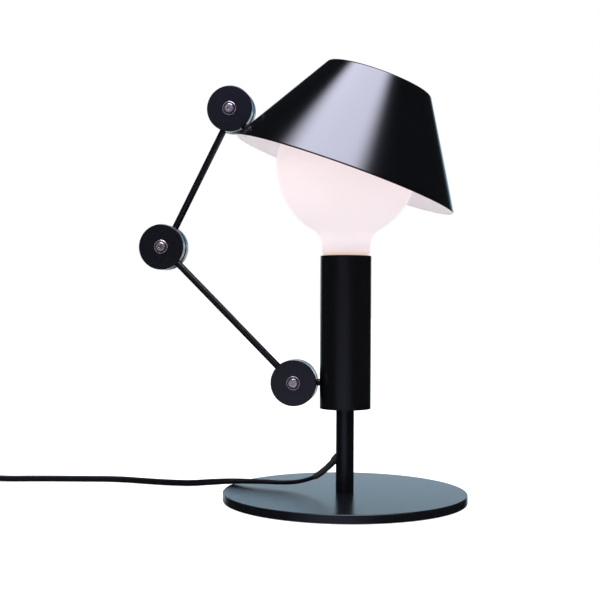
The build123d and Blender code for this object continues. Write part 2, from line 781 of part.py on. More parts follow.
with BuildPart() as shade:
    with BuildSketch(shade_plane) as shade_profile:
        with BuildLine():
            Polyline(
                (shade_mouth_radius, 0),
                (shade_top_radius, shade_height),
                (0, shade_height),
                (0, inner_height),
                (inner_top, inner_height),
                (inner_mouth, 0),
                close=True,
            )
        make_face()
        fillet(shade_profile.vertices().sort_by_distance((shade_top_radius, shade_height))[0],
               shade_corner)
        fillet(shade_profile.vertices().sort_by_distance((inner_top, inner_height))[0],
               shade_corner - shade_wall)
    revolve(axis=Axis(shade_origin, shade_axis_direction))
    with BuildSketch(rod_plane(shade_joint, front_plane_y, shade_stub_angle, disc_radius)):
        Circle(rod_diameter / 2 + slip_fit)
    extrude(amount=shade_stub_reach, mode=Mode.SUBTRACT)
finish(shade, "shade")

# Mains cord from the post to the switch
switch_middle_x = switch_start_x - switch_length / 2
switch_end_x = switch_start_x - switch_length
lead_end = (switch_start_x, switch_y, switch_split_height)
lead_length = Route([cord_start, *lead_points, lead_end]).tube("cord_lead", cord_diameter)

# In-line switch: two shells, terminals, and a rocker that turns on two pins
rocker_axis_height = switch_height - rocker_axis_drop
rocker_half = rocker_length / 2
slot_length = rocker_length + 2 * rocker_slot_play
slot_width = rocker_width + rocker_slot_play
switch_spot = (switch_middle_x, switch_y)


def switch_half(name, bottom, top, open_top):
    """One shell of the switch, hollow, with half of each cord's entry."""
    with BuildPart() as shell:
        with BuildSketch(Plane.XY.offset(bottom)):
            with Locations(switch_spot):
                RectangleRounded(switch_length, switch_width, switch_corner)
        extrude(amount=top - bottom)
        outer_level = 0 if open_top else -1
        fillet(shell.edges().group_by(Axis.Z)[outer_level], switch_edge)
        inner_bottom = bottom + switch_wall if open_top else bottom
        inner_top_level = top if open_top else top - switch_wall
        with BuildSketch(Plane.XY.offset(inner_bottom)):
            with Locations(switch_spot):
                RectangleRounded(switch_length - 2 * switch_wall, switch_width - 2 * switch_wall,
                                 switch_corner - switch_wall)
        extrude(amount=inner_top_level - inner_bottom, mode=Mode.SUBTRACT)
        if not open_top:
            with BuildSketch(Plane.XY.offset(bottom)):
                with Locations(switch_spot):
                    Rectangle(slot_length, slot_width)
            extrude(amount=top - bottom, mode=Mode.SUBTRACT)
            lug_y = slot_width / 2 + rocker_lug_width / 2
            with BuildSketch(Plane.XY.offset(top - switch_wall)):
                with Locations((switch_middle_x, switch_y + lug_y),
                               (switch_middle_x, switch_y - lug_y)):
                    Rectangle(rocker_lug_length, rocker_lug_width)
            extrude(amount=-rocker_lug_height)
            with BuildSketch(Plane.XZ.offset(-switch_y)):
                with Locations((switch_middle_x, rocker_axis_height)):
                    Circle(rocker_pin_diameter / 2 + running_fit)
            extrude(amount=slot_width / 2 + rocker_lug_width, both=True, mode=Mode.SUBTRACT)
    return finish(shell, name)


switch_half("switch_base", 0.0, switch_split_height, True)
switch_half("switch_cover", switch_split_height, switch_height, False)

terminal_x = switch_length / 2 - switch_wall - switch_terminal_length / 2 - 0.5
with BuildPart() as switch_terminals:
    with BuildSketch(Plane.XY.offset(switch_wall)):
        with Locations((switch_middle_x + terminal_x, switch_y),
                       (switch_middle_x - terminal_x, switch_y)):
            Rectangle(switch_terminal_length, switch_terminal_width)
    extrude(amount=switch_terminal_height)
finish(switch_terminals, "switch_terminals")

with BuildPart() as switch_rocker:
    rocker_plane = Plane(origin=(switch_middle_x, switch_y, rocker_axis_height),
                         x_dir=(cos(radians(rocker_tilt)), 0, sin(radians(rocker_tilt))),
                         z_dir=(0, -1, 0))
    with BuildSketch(rocker_plane):
        with BuildLine():
            Polyline(
                (-rocker_half, rocker_axis_drop + rocker_crown - rocker_drop),
                (0, rocker_axis_drop - rocker_drop + rocker_crown / 2),
                (rocker_half, rocker_axis_drop + rocker_crown - rocker_drop),
                (rocker_half, -rocker_skirt + rocker_crown / 2),
                (0, -rocker_skirt),
                (-rocker_half, -rocker_skirt + rocker_crown / 2),
                close=True,
            )
        make_face()
    extrude(amount=rocker_width / 2, both=True)
    with BuildSketch(rocker_plane):
        Circle(rocker_pin_diameter / 2)
    extrude(amount=rocker_width / 2 + rocker_pin_length, both=True)
finish(switch_rocker, "switch_rocker")


# Put-away coil: it spirals in and out again, and climbs a layer where it turns back
coil_centre_x = switch_end_x - coil_distance
coil_middle_turn = coil_turns / 2
coil_inner_radius = coil_middle_radius - coil_pitch * coil_middle_turn / 2
coil_outer_radius = coil_inner_radius + coil_pitch * sqrt(coil_middle_turn**2 + coil_round_off**2)
coil_centre_y = switch_y - coil_outer_radius


def coil_point(turn):
    """The coil's centreline after a number of turns from its outer start."""
    from_middle = turn - coil_middle_turn
    radius = coil_inner_radius + coil_pitch * sqrt(from_middle**2 + coil_round_off**2)
    climb = min(max(from_middle / 0.5 + 0.5, 0.0), 1.0)
    height = coil_floor_height + coil_layer_step * climb**2 * (3 - 2 * climb)
    angle = radians(coil_start_angle) + 2 * pi * turn
    return Vector(coil_centre_x + radius * cos(angle), coil_centre_y + radius * sin(angle), height)


def coil_tangent(turn):
    """The coil's direction there."""
    step = 0.001
    return (coil_point(turn + step) - coil_point(turn - step)).normalized()


def biarc(start, start_direction, end, end_direction):
    """Two arcs that leave and arrive in the given directions and meet smoothly."""
    span = end - start
    both = start_direction + end_direction
    along_span = span.dot(both)
    bend = 2 * (1 - start_direction.dot(end_direction))
    reach = (sqrt(along_span**2 + bend * span.dot(span)) - along_span) / bend
    meet = (start + start_direction * reach + end - end_direction * reach) * 0.5
    first = Edge.make_tangent_arc(start, start_direction, meet)
    second = Edge.make_tangent_arc(meet, first % 1, end)
    return [first, second]


# The coil's two ends run straight for one diameter
coil_steps = int(ceil(coil_turns * 4))
coil_stops = [coil_turns * step / coil_steps for step in range(coil_steps + 1)]
coil_start_direction = coil_tangent(0)
coil_end_direction = coil_tangent(coil_turns)
coil_start = coil_point(0) - coil_start_direction * cord_diameter
coil_end = coil_point(coil_turns) + coil_end_direction * cord_diameter
coil_edges = [Edge.make_line(coil_start, coil_point(0))]
for stop, next_stop in zip(coil_stops, coil_stops[1:]):
    coil_edges += biarc(coil_point(stop), coil_tangent(stop),
                        coil_point(next_stop), coil_tangent(next_stop))
coil_edges.append(Edge.make_line(coil_point(coil_turns), coil_end))
coil_path = Wire(coil_edges)

with BuildPart() as cord_coil:
    with BuildSketch(Plane(origin=coil_start, z_dir=coil_start_direction)):
        Circle(cord_diameter / 2)
    sweep(path=coil_path)
finish(cord_coil, "cord_coil")


def least_gap(edges, samples, diameter):
    """The least gap between stretches of one tube that lie apart along it."""
    points = [edge @ (step / samples) for edge in edges for step in range(samples)]
    apart = 4 * samples
    nearest = min(
        (points[i] - points[j]).length
        for i in range(len(points))
        for j in range(i + apart, len(points))
    )
    return nearest - diameter


coil_gap = least_gap(coil_edges, 16, cord_diameter)
print(f"cord_coil: length {coil_path.length:.1f}, least gap to itself {coil_gap:.2f}, "
      f"volume over section times length "
      f"{cord_coil.part.volume / (pi * cord_diameter**2 / 4 * coil_path.length):.4f}, "
      f"outer radius {coil_outer_radius:.1f}, inner radius {coil_inner_radius:.1f}")

# The cord's short free stretches before and after the coil
link_length = Route([
    (switch_end_x, switch_y, switch_split_height),
    (switch_end_x - link_run, switch_y, switch_split_height),
    coil_start - coil_start_direction * link_run,
    coil_start,
]).tube("cord_link", cord_diameter)
tail_length = Route([
    coil_end,
    coil_end + coil_end_direction * tail_run,
    (plug_x, plug_face_y + tail_last_run, plug_thickness / 2),
    (plug_x, plug_face_y, plug_thickness / 2),
]).tube("cord_tail", cord_diameter)
print(f"cord from post to plug: {lead_length + link_length + coil_path.length + tail_length:.0f} "
      f"plus the switch's {switch_length:.0f}")

# Tie: a band about the coil's bundle
bundle_inner = coil_inner_radius - cord_diameter / 2 - tie_play
bundle_outer = coil_outer_radius + cord_diameter / 2 + tie_play
bundle_bottom = coil_floor_height - cord_diameter / 2 - tie_play
bundle_top = coil_floor_height + coil_layer_step + cord_diameter / 2 + tie_play
sagitta = tie_width**2 / 8 / bundle_inner
tie_direction = (cos(radians(tie_angle)), sin(radians(tie_angle)), 0)
tie_plane = Plane(
    origin=(coil_centre_x, coil_centre_y, 0),
    x_dir=tie_direction,
    z_dir=(tie_direction[1], -tie_direction[0], 0),
)
with BuildPart() as coil_tie:
    band_middle = (bundle_inner - sagitta + bundle_outer) / 2
    band_across = bundle_outer - bundle_inner + sagitta
    band_height = bundle_top - bundle_bottom
    with BuildSketch(tie_plane.offset(-tie_width / 2)):
        with Locations((band_middle, (bundle_bottom + bundle_top) / 2)):
            RectangleRounded(band_across + 2 * tie_thickness, band_height + 2 * tie_thickness, 2.0)
            RectangleRounded(band_across, band_height, 2.0 - tie_thickness, mode=Mode.SUBTRACT)
    extrude(amount=tie_width)
finish(coil_tie, "coil_tie")


# Plug: a flat tapered body and two round pins
def plug_section(y, width, thickness, corner):
    """A section of the plug's body, square to its length."""
    plane = Plane(origin=(plug_x, y, plug_thickness / 2), x_dir=(1, 0, 0), z_dir=(0, -1, 0))
    with BuildSketch(plane) as section:
        RectangleRounded(width, thickness, corner)
    return section.sketch


with BuildPart() as plug_body:
    plug_shoulder_y = plug_face_y - plug_shoulder
    plug_pin_face_y = plug_face_y - plug_length
    loft([
        plug_section(plug_face_y, plug_neck_width, plug_neck_thickness, plug_corner),
        plug_section(plug_shoulder_y, plug_width * 0.62, plug_thickness, plug_corner),
        plug_section(plug_pin_face_y, plug_width, plug_thickness, plug_corner),
    ], ruled=True)
    pin_face = Plane(origin=(plug_x, plug_pin_face_y, plug_thickness / 2), x_dir=(1, 0, 0),
                     z_dir=(0, -1, 0))
    with BuildSketch(pin_face):
        with Locations((plug_pin_spacing / 2, 0), (-plug_pin_spacing / 2, 0)):
            Circle(plug_pin_root_diameter / 2 + slip_fit)
    extrude(amount=-plug_pin_root, mode=Mode.SUBTRACT)
finish(plug_body, "plug_body")

with BuildPart() as plug_pins:
    with BuildSketch(pin_face):
        with Locations((plug_pin_spacing / 2, 0), (-plug_pin_spacing / 2, 0)):
            Circle(plug_pin_root_diameter / 2)
    extrude(amount=-plug_pin_root)
    with BuildSketch(pin_face):
        with Locations((plug_pin_spacing / 2, 0), (-plug_pin_spacing / 2, 0)):
            Circle(plug_pin_diameter / 2)
    extrude(amount=plug_pin_length)
    pin_tips = plug_pins.edges().filter_by(GeomType.CIRCLE).group_by(Axis.Y)[0]
    fillet(pin_tips, plug_pin_diameter * 0.2)
finish(plug_pins, "plug_pins")
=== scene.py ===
"""A table lamp with a hinged arm and a conical shade, dressed for the studio.

Sizes in the code are in millimetres and become metres in the scene. The lamp's axis is Z,
the table is at height 0, and the front, where the joints' screws show, is -Y.
"""

from __future__ import annotations

import json
import logging
import math
from collections.abc import Callable, Iterator, Sequence
from contextlib import contextmanager
from dataclasses import dataclass
from enum import Enum
from functools import cache

import bpy
from mathutils import Matrix, Vector

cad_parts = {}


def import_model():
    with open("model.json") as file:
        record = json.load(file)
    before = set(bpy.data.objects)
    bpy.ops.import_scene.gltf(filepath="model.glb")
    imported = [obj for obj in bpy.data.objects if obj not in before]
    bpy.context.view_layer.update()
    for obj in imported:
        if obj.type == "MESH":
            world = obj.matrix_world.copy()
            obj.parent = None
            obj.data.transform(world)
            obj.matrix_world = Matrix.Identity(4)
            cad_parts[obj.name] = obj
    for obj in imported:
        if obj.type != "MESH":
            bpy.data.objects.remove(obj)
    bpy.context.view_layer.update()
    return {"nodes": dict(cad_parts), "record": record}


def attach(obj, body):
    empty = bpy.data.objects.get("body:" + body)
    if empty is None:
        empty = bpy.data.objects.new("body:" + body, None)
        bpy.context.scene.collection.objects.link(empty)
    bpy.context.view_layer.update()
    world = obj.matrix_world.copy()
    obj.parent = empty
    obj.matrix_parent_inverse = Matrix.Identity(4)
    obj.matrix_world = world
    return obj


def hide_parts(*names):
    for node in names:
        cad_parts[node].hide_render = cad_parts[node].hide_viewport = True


LOG = logging.getLogger("table_lamp")
MM = 0.001
Point = tuple[float, float, float]
Pair = tuple[float, float]
Piece = bpy.types.Object
Node = bpy.types.Node
Socket = bpy.types.NodeSocket


class Body(Enum):
    """The bodies that the lamp's joints separate."""

    STAND = "stand"
    LOWER_ARM = "lower_arm_group"
    UPPER_ARM = "upper_arm_group"
    SHADE = "shade_group"
    ROCKER = "rocker_group"


# ---- node trees


class Graph:
    """A shader tree under construction."""

    def __init__(self, tree: bpy.types.NodeTree) -> None:
        """Start on a tree."""
        self.tree = tree

    def feed(self, node: Node, inputs: dict[str | int, Socket | float | Point]) -> None:
        """Link a node's inputs to sockets, or set plain numbers and colours on them."""
        for label, value in inputs.items():
            socket = node.inputs[label]
            if isinstance(value, Socket):
                self.tree.links.new(value, socket)
            else:
                socket.default_value = (*value, 1.0) if socket.type == "RGBA" else value

    def add(self, kind: str, inputs: dict | None = None, **settings: object) -> Node:
        """Add a node.

        Args:
            kind: Its type, without the prefix of all shader nodes.
            inputs: What feeds its inputs.
            settings: Its own properties.

        Returns:
            The node.
        """
        node = self.tree.nodes.new(f"ShaderNode{kind}")
        for label, value in settings.items():
            setattr(node, label, value)
        self.feed(node, inputs or {})
        return node

    def compute(self, operation: str, *terms: Socket | float, clamp: bool = False) -> Socket:
        """Add a calculation on numbers and return its socket."""
        node = self.add("Math", dict(enumerate(terms)), operation=operation, use_clamp=clamp)
        return node.outputs[0]

    def blend(
        self, share: Socket | float, first: Socket, second: Socket, kind: str = "MIX"
    ) -> Socket:
        """Add a mix of two colours and return its socket."""
        inputs = {0: share, 6: first, 7: second}
        return self.add("Mix", inputs, data_type="RGBA", blend_type=kind).outputs[2]

    def fade(
        self, value: Socket, start: float, end: float, first: float = 0.0, last: float = 1.0
    ) -> Socket:
        """Add a smooth change between two numbers as a value goes from start to end."""
        inputs = {"Value": value, "From Min": start, "From Max": end, "To Min": first,
                  "To Max": last}
        return self.add("MapRange", inputs, interpolation_type="SMOOTHSTEP").outputs["Result"]

    def shine(self, colour: Point, strength: Socket | float) -> Socket:
        """Add a field of light and return its shader socket."""
        return self.add("Background", {"Color": colour, "Strength": strength}).outputs[0]


def open_material(name: str) -> tuple[bpy.types.Material, Graph, Node]:
    """Make a material and return it with its tree and its shader."""
    made = bpy.data.materials.new(name)
    made.use_nodes = True
    return made, Graph(made.node_tree), made.node_tree.nodes["Principled BSDF"]


SOCKET_KINDS = {"Place": "Vector", "Colour": "Color", "Second colour": "Color",
                "Worn colour": "Color"}


def open_group(
    name: str, inputs: Sequence[str], outputs: Sequence[str]
) -> tuple[Graph, bpy.types.NodeOutputs, Node]:
    """Open a new node group, its sockets numbers unless SOCKET_KINDS says otherwise.

    Args:
        name: The group's name.
        inputs: Names of its inputs.
        outputs: Names of its outputs.

    Returns:
        The group's tree, what it is given, and the node that takes its results.
    """
    tree = bpy.data.node_groups.new(name, "ShaderNodeTree")
    for way, labels in (("INPUT", inputs), ("OUTPUT", outputs)):
        for label in labels:
            kind = f"NodeSocket{SOCKET_KINDS.get(label, 'Float')}"
            tree.interface.new_socket(name=label, in_out=way, socket_type=kind)
    given = tree.nodes.new("NodeGroupInput").outputs
    return Graph(tree), given, tree.nodes.new("NodeGroupOutput")


@cache
def grain_group() -> bpy.types.NodeTree:
    """The group for fine grain over a wide, faint mottle."""
    graph, given, out = open_group(
        "fine_grain",
        ("Place", "Colour", "Second colour", "Grain scale", "Mottle scale", "Roughness", "Spread"),
        ("Colour", "Roughness", "Height"),
    )
    place = given["Place"]
    fine = graph.add("TexNoise", {"Vector": place, "Scale": given["Grain scale"], "Detail": 3.0})
    wide = graph.add("TexNoise", {"Vector": place, "Scale": given["Mottle scale"],
                                  "Detail": 4.0, "Roughness": 0.6}).outputs["Fac"]
    swing = graph.compute("SUBTRACT", wide, 0.5)
    graph.feed(out, {
        "Colour": graph.blend(wide, given["Colour"], given["Second colour"]),
        "Roughness": graph.compute("MULTIPLY_ADD", swing, given["Spread"], given["Roughness"]),
        "Height": fine.outputs["Fac"],
    })
    return graph.tree


@cache
def wear_group() -> bpy.types.NodeTree:
    """The group that rubs a coat thin along edges, in patches."""
    graph, given, out = open_group(
        "edge_wear", ("Place", "Colour", "Worn colour", "Roughness", "Amount"),
        ("Colour", "Roughness"),
    )
    sharp = graph.add("NewGeometry").outputs["Pointiness"]
    edge = graph.add("MapRange", {"Value": sharp, "From Min": 0.53, "From Max": 0.62})
    patch = graph.add("TexNoise", {"Vector": given["Place"], "Scale": 160.0, "Detail": 5.0})
    rubbed = graph.compute("MULTIPLY", edge.outputs["Result"], patch.outputs["Fac"])
    mask = graph.compute("MULTIPLY", rubbed, given["Amount"], clamp=True)
    graph.feed(out, {
        "Colour": graph.blend(mask, given["Colour"], given["Worn colour"]),
        "Roughness": graph.compute("MULTIPLY_ADD", mask, 0.15, given["Roughness"]),
    })
    return graph.tree


# ---- finishes


@dataclass(frozen=True)
class Surface:
    """A finish whose colour and gloss change a little over the surface.

    The grain is the fine texture that can be felt, in features per metre, and its relief is
    in millimetres. The mottle is the wide, faint change of colour and gloss.
    """

    name: str
    colour: Point
    second: Point
    roughness: float
    spread: float = 0.05
    metallic: float = 0.0
    specular: float = 0.5
    grain: float = 900.0
    relief: float = 0.02
    mottle: float = 22.0
    wear: float = 0.0
    wear_colour: Point = (0.2, 0.2, 0.2)
    brush: Point = (1.0, 1.0, 1.0)
    subsurface: float = 0.0
    transmission: float = 0.0

    def material(self) -> bpy.types.Material:
        """Build the finish's material, its grain and wear from the shared groups."""
        made, graph, shader = open_material(self.name)
        place = graph.add("Mapping", {
            "Vector": graph.add("TexCoord").outputs["Object"], "Scale": self.brush,
        }).outputs["Vector"]
        plain = graph.add("Group", {
            "Place": place, "Colour": self.colour, "Second colour": self.second,
            "Grain scale": self.grain, "Mottle scale": self.mottle,
            "Roughness": self.roughness, "Spread": self.spread,
        }, node_tree=grain_group()).outputs
        coat = plain
        if self.wear > 0:
            coat = graph.add("Group", {
                "Place": place, "Amount": self.wear, "Worn colour": self.wear_colour,
                "Colour": plain["Colour"], "Roughness": plain["Roughness"],
            }, node_tree=wear_group()).outputs
        bump = graph.add("Bump", {"Strength": 0.5, "Distance": self.relief * MM,
                                  "Height": plain["Height"]})
        graph.feed(shader, {
            "Base Color": coat["Colour"], "Roughness": coat["Roughness"],
            "Normal": bump.outputs["Normal"], "Metallic": self.metallic,
            "Specular IOR Level": self.specular, "Subsurface Weight": self.subsurface,
            "Subsurface Scale": 0.004, "Transmission Weight": self.transmission,
        })
        return made


@dataclass(frozen=True)
class BulbGlass(Surface):
    """Opal glass with a weak glow. Its colour by height holds a painted warm reflection at the
    foot of its neck and painted shade over its top.
    """

    glow: float = 0.56
    heights: tuple[float, ...] = (216.0, 219.0, 223.0, 231.0, 262.0, 292.0, 340.0)
    # Painted light: the tones give the neck's foot a painted warm reflection and the globe's top
    # painted shade.
    tones_with_painted_light: tuple[Point, ...] = ()

    def material(self) -> bpy.types.Material:
        """Build the plain finish, then colour it by height, with its painted reflection and
        painted shade, and let it glow.
        """
        made = super().material()
        graph, shader = Graph(made.node_tree), made.node_tree.nodes["Principled BSDF"]
        low, high = self.heights[0], self.heights[-1]
        height = graph.add("SeparateXYZ", {0: graph.add("TexCoord").outputs["Object"]})
        share = graph.add("MapRange", {"Value": height.outputs["Z"], "From Min": low * MM,
                                       "From Max": high * MM})
        ramp = graph.add("ValToRGB", {"Fac": share.outputs["Result"]})
        stops = ramp.color_ramp.elements
        while len(stops) < len(self.tones_with_painted_light):
            stops.new(0.5)
        for stop, level, tone in zip(stops, self.heights, self.tones_with_painted_light):
            stop.position = (level - low) / (high - low)
            stop.color = (*tone, 1.0)
        # The height tones, painted reflection and painted shade included, tint the base colour and
        # colour the glow.
        plain, toned_with_painted_light = shader.inputs["Base Color"].links[0].from_socket, ramp.outputs["Color"]
        graph.feed(shader, {
            "Base Color": graph.blend(1.0, plain, toned_with_painted_light, "MULTIPLY"),
            "Emission Color": toned_with_painted_light, "Emission Strength": self.glow,
        })
        return made


BLACK_PAINT = Surface(
    "black_satin_paint", (0.0022, 0.0023, 0.0030), (0.0031, 0.0033, 0.0042), 0.27, 0.012,
    grain=1400.0, relief=0.0006,
)
BASE_PAINT = Surface(
    "base_satin_paint", (0.0026, 0.0034, 0.0046), (0.0036, 0.0046, 0.006), 0.26, 0.012,
    grain=1100.0, relief=0.0006, mottle=14.0, wear=0.3,
    wear_colour=(0.02, 0.024, 0.028),
)
SHADE_PAINT = Surface(
    "shade_satin_paint", (0.0013, 0.0015, 0.0022), (0.0019, 0.0021, 0.0030), 0.18, 0.012,
    specular=0.75, grain=1400.0, relief=0.0006, mottle=12.0,
)
KNOB_PAINT = Surface(
    "knob_satin_black", (0.0036, 0.0039, 0.0060), (0.0047, 0.0051, 0.0074), 0.2, 0.015,
    grain=1500.0, relief=0.001,
)
INSIDE_WHITE = Surface(
    "shade_inside_white", (0.93, 0.905, 0.93), (0.91, 0.885, 0.91), 0.6, 0.08,
    specular=0.3, grain=900.0, relief=0.008, mottle=16.0,
)
OPAL_GLASS = BulbGlass(
    "opal_glass", (0.42, 0.42, 0.42), (0.40, 0.40, 0.40), 0.42, 0.04, specular=0.12,
    grain=300.0, relief=0.001, mottle=9.0, subsurface=0.25,
    # Peach at the neck's foot is a painted reflection; the darker top tone is painted shade.
    tones_with_painted_light=((1.0, 0.84, 0.70), (0.96, 0.74, 0.69), (0.90, 0.80, 0.82), (0.99, 0.88, 0.91),
           (1.0, 0.88, 0.90), (0.98, 0.85, 0.86), (0.76, 0.66, 0.67)),
)
CLEAR_GLASS = Surface(
    "clear_glass", (0.95, 0.96, 0.96), (0.93, 0.95, 0.95), 0.03, 0.01,
    grain=200.0, relief=0.002, transmission=1.0,
)
CHROME = Surface(
    "chrome_plate", (0.60, 0.52, 0.55), (0.50, 0.43, 0.46), 0.16, 0.05, metallic=0.84,
    grain=2500.0, relief=0.004, mottle=60.0,
)
STEEL = Surface(
    "zinc_plated_steel", (0.50, 0.51, 0.52), (0.40, 0.41, 0.43), 0.34, 0.12, metallic=1.0,
    grain=1200.0, relief=0.01, mottle=90.0, brush=(1.0, 0.25, 1.0),
)
BRASS = Surface(
    "plain_brass", (0.62, 0.43, 0.17), (0.5, 0.34, 0.13), 0.3, 0.1, metallic=1.0,
    grain=1200.0, relief=0.008, mottle=80.0,
)
NICKEL = Surface(
    "nickel_plate", (0.66, 0.63, 0.58), (0.58, 0.56, 0.52), 0.2, 0.08, metallic=1.0,
    grain=1800.0, relief=0.005, mottle=90.0,
)
CAP_METAL = Surface(
    "bulb_cap_metal", (0.72, 0.72, 0.71), (0.6, 0.6, 0.6), 0.32, 0.12, metallic=1.0,
    grain=900.0, relief=0.01, mottle=120.0,
)
RUBBER = Surface(
    "black_rubber", (0.014, 0.014, 0.015), (0.022, 0.022, 0.023), 0.68, 0.1,
    specular=0.35, grain=1000.0, relief=0.05,
)
FELT_PAD = Surface(
    "foam_rubber_pad", (0.02, 0.02, 0.021), (0.032, 0.032, 0.033), 0.9, 0.05,
    specular=0.2, grain=700.0, relief=0.15, mottle=60.0,
)
CORD_PVC = Surface(
    "cord_pvc_black", (0.0022, 0.0024, 0.0034), (0.004, 0.0043, 0.0056), 0.42, 0.1,
    specular=0.2, grain=700.0, relief=0.02, mottle=70.0,
)
MOULDED_BLACK = Surface(
    "moulded_black_plastic", (0.010, 0.010, 0.011), (0.014, 0.014, 0.015), 0.42, 0.08,
    specular=0.45, grain=1300.0, relief=0.03, wear=0.3,
    wear_colour=(0.03, 0.03, 0.03),
)
ROCKER_BLACK = Surface(
    "rocker_gloss_plastic", (0.009, 0.009, 0.010), (0.012, 0.012, 0.013), 0.22, 0.06,
    relief=0.01,
)
MOULDED_WHITE = Surface(
    "holder_white_ceramic", (0.78, 0.77, 0.74), (0.72, 0.71, 0.68), 0.3, 0.08,
    grain=700.0, relief=0.02, mottle=50.0,
)
CAP_BLACK = Surface(
    "cap_black_glass", (0.01, 0.01, 0.012), (0.014, 0.014, 0.016), 0.18, 0.05,
    grain=500.0, relief=0.01,
)
TIE_WIRE = Surface(
    "tie_black_band", (0.012, 0.012, 0.012), (0.02, 0.02, 0.02), 0.55, 0.1,
    specular=0.4, grain=1600.0, relief=0.05, brush=(1.0, 1.0, 0.3),
)

SLOT_FINISHES: dict[str, Surface] = {
    "base_black": BASE_PAINT, "pad_rubber": FELT_PAD, "body_black": BLACK_PAINT,
    "arm_black": BLACK_PAINT, "joint_black": KNOB_PAINT, "friction_rubber": RUBBER,
    "chrome": CHROME, "steel": STEEL, "shade_paint": SHADE_PAINT, "opal_glass": OPAL_GLASS,
    "clear_glass": CLEAR_GLASS, "cap_metal": CAP_METAL, "cap_insulator": CAP_BLACK,
    "brass": BRASS, "holder_black": MOULDED_BLACK, "holder_white": MOULDED_WHITE,
    "wire_sheath": CORD_PVC, "relief_rubber": RUBBER, "cord_black": CORD_PVC,
    "tie_black": TIE_WIRE, "switch_black": MOULDED_BLACK, "rocker_black": ROCKER_BLACK,
    "plug_black": MOULDED_BLACK, "pin_nickel": NICKEL,
}


@cache
def paint(finish: Surface) -> bpy.types.Material:
    """The material of a finish, built on first use."""
    return finish.material()


# ---- modelling helpers


def take(*pieces: Piece) -> None:
    """Select some objects alone and make the first one active."""
    bpy.ops.object.select_all(action="DESELECT")
    for piece in pieces:
        piece.select_set(True)
    bpy.context.view_layer.objects.active = pieces[0]


@contextmanager
def editing(piece: Piece, mode: str = "VERT") -> Iterator[None]:
    """Open a piece's mesh in edit mode, by vertex, edge or face, for a with block."""
    take(piece)
    settings = bpy.context.tool_settings
    settings.mesh_select_mode = [mode == kind for kind in ("VERT", "EDGE", "FACE")]
    bpy.ops.object.mode_set(mode="EDIT")
    yield
    bpy.ops.object.mode_set(mode="OBJECT")
    settings.mesh_select_mode = (True, False, False)


def placed(x: float, y: float, z: float, turn: float = 0.0, axis: str = "Z") -> Matrix:
    """Matrix that turns a piece about an axis, in degrees, and moves it, in millimetres."""
    turned = Matrix.Rotation(math.radians(turn), 4, axis)
    return Matrix.Translation(Vector((x, y, z)) * MM) @ turned


def settle(piece: Piece, matrix: Matrix) -> None:
    """Put a piece, modelled about its own origin, in its place."""
    take(piece)
    piece.matrix_world = matrix
    bpy.ops.object.transform_apply()


def ease(share: float) -> float:
    """Smooth step from 0 to 1, held beyond both."""
    share = min(max(share, 0.0), 1.0)
    return share * share * (3 - 2 * share)


def arc(centre: Pair, radius: float, start: float, end: float, steps: int) -> list[Pair]:
    """Points of an arc in a turned piece's outline.

    Args:
        centre: The arc's centre as (radius, height).
        radius: The arc's own radius.
        start: First angle in degrees, 0 outwards and 90 upwards.
        end: Last angle in degrees.
        steps: How many straight steps make it up.

    Returns:
        The points, both ends included.
    """
    angles = [math.radians(start + (end - start) * step / steps) for step in range(steps + 1)]
    return [(centre[0] + radius * math.cos(a), centre[1] + radius * math.sin(a)) for a in angles]


def named(name: str) -> Piece:
    """Name the primitive just added and apply its place and scale."""
    piece = bpy.context.object
    piece.name = name
    bpy.ops.object.transform_apply()
    return piece


def lathe(name: str, rings: Sequence[Pair], sides: int = 96, hollow: bool = False) -> Piece:
    """Turn a piece about Z by extruding a circle from ring to ring.

    Args:
        name: The piece's name.
        rings: Its outline as (radius, height), in millimetres.
        sides: Faces around.
        hollow: True if the outline closes on itself around a bore, otherwise both ends
            are closed by a face.

    Returns:
        The turned piece.
    """
    radius, height = rings[0]
    bpy.ops.mesh.primitive_circle_add(
        vertices=sides, radius=radius * MM, fill_type="NOTHING" if hollow else "NGON",
        location=(0.0, 0.0, height * MM),
    )
    piece = named(name)
    with editing(piece):
        bpy.ops.mesh.select_all(action="SELECT")
        for next_radius, next_height in [*rings[1:], *(rings[:1] if hollow else [])]:
            bpy.ops.mesh.extrude_region_move(
                TRANSFORM_OT_translate={"value": (0.0, 0.0, (next_height - height) * MM)}
            )
            scale = next_radius / radius
            if abs(scale - 1) > 1e-9:
                bpy.ops.transform.resize(
                    value=(scale, scale, 1.0), center_override=(0.0, 0.0, next_height * MM)
                )
            radius, height = next_radius, next_height
        bpy.ops.mesh.select_all(action="SELECT")
        bpy.ops.mesh.remove_doubles(threshold=1e-6)
        bpy.ops.mesh.normals_make_consistent(inside=False)
    return piece


def prism(name: str, sides: int, flats: float, bottom: float, top: float) -> Piece:
    """A prism about Z, given by the distance across its flats."""
    bpy.ops.mesh.primitive_cylinder_add(
        vertices=sides, radius=flats / 2 / math.cos(math.pi / sides) * MM,
        depth=(top - bottom) * MM, location=(0.0, 0.0, (top + bottom) / 2 * MM),
    )
    return named(name)


def block(name: str, low: Point, high: Point) -> Piece:
    """A box between two corners, to be shaped further."""
    middle = [(a + b) / 2 * MM for a, b in zip(low, high)]
    bpy.ops.mesh.primitive_cube_add(size=1.0, location=middle)
    bpy.context.object.scale = [(b - a) * MM for a, b in zip(low, high)]
    return named(name)


def round_edges(
    piece: Piece, wanted: Callable[[Vector, Vector], bool], size: float, steps: int
) -> None:
    """Bevel chosen edges in edit mode.

    Args:
        piece: The piece.
        wanted: Test on an edge's two ends.
        size: The bevel's size in millimetres.
        steps: Segments of the bevel.
    """
    mesh = piece.data
    for part in (*mesh.polygons, *mesh.edges, *mesh.vertices):
        part.select = False
    for edge in mesh.edges:
        first, second = (mesh.vertices[index] for index in edge.vertices)
        if wanted(first.co, second.co):
            edge.select = first.select = second.select = True
    with editing(piece, "EDGE"):
        bpy.ops.mesh.bevel(offset=size * MM, offset_type="OFFSET", segments=steps, profile=0.5)


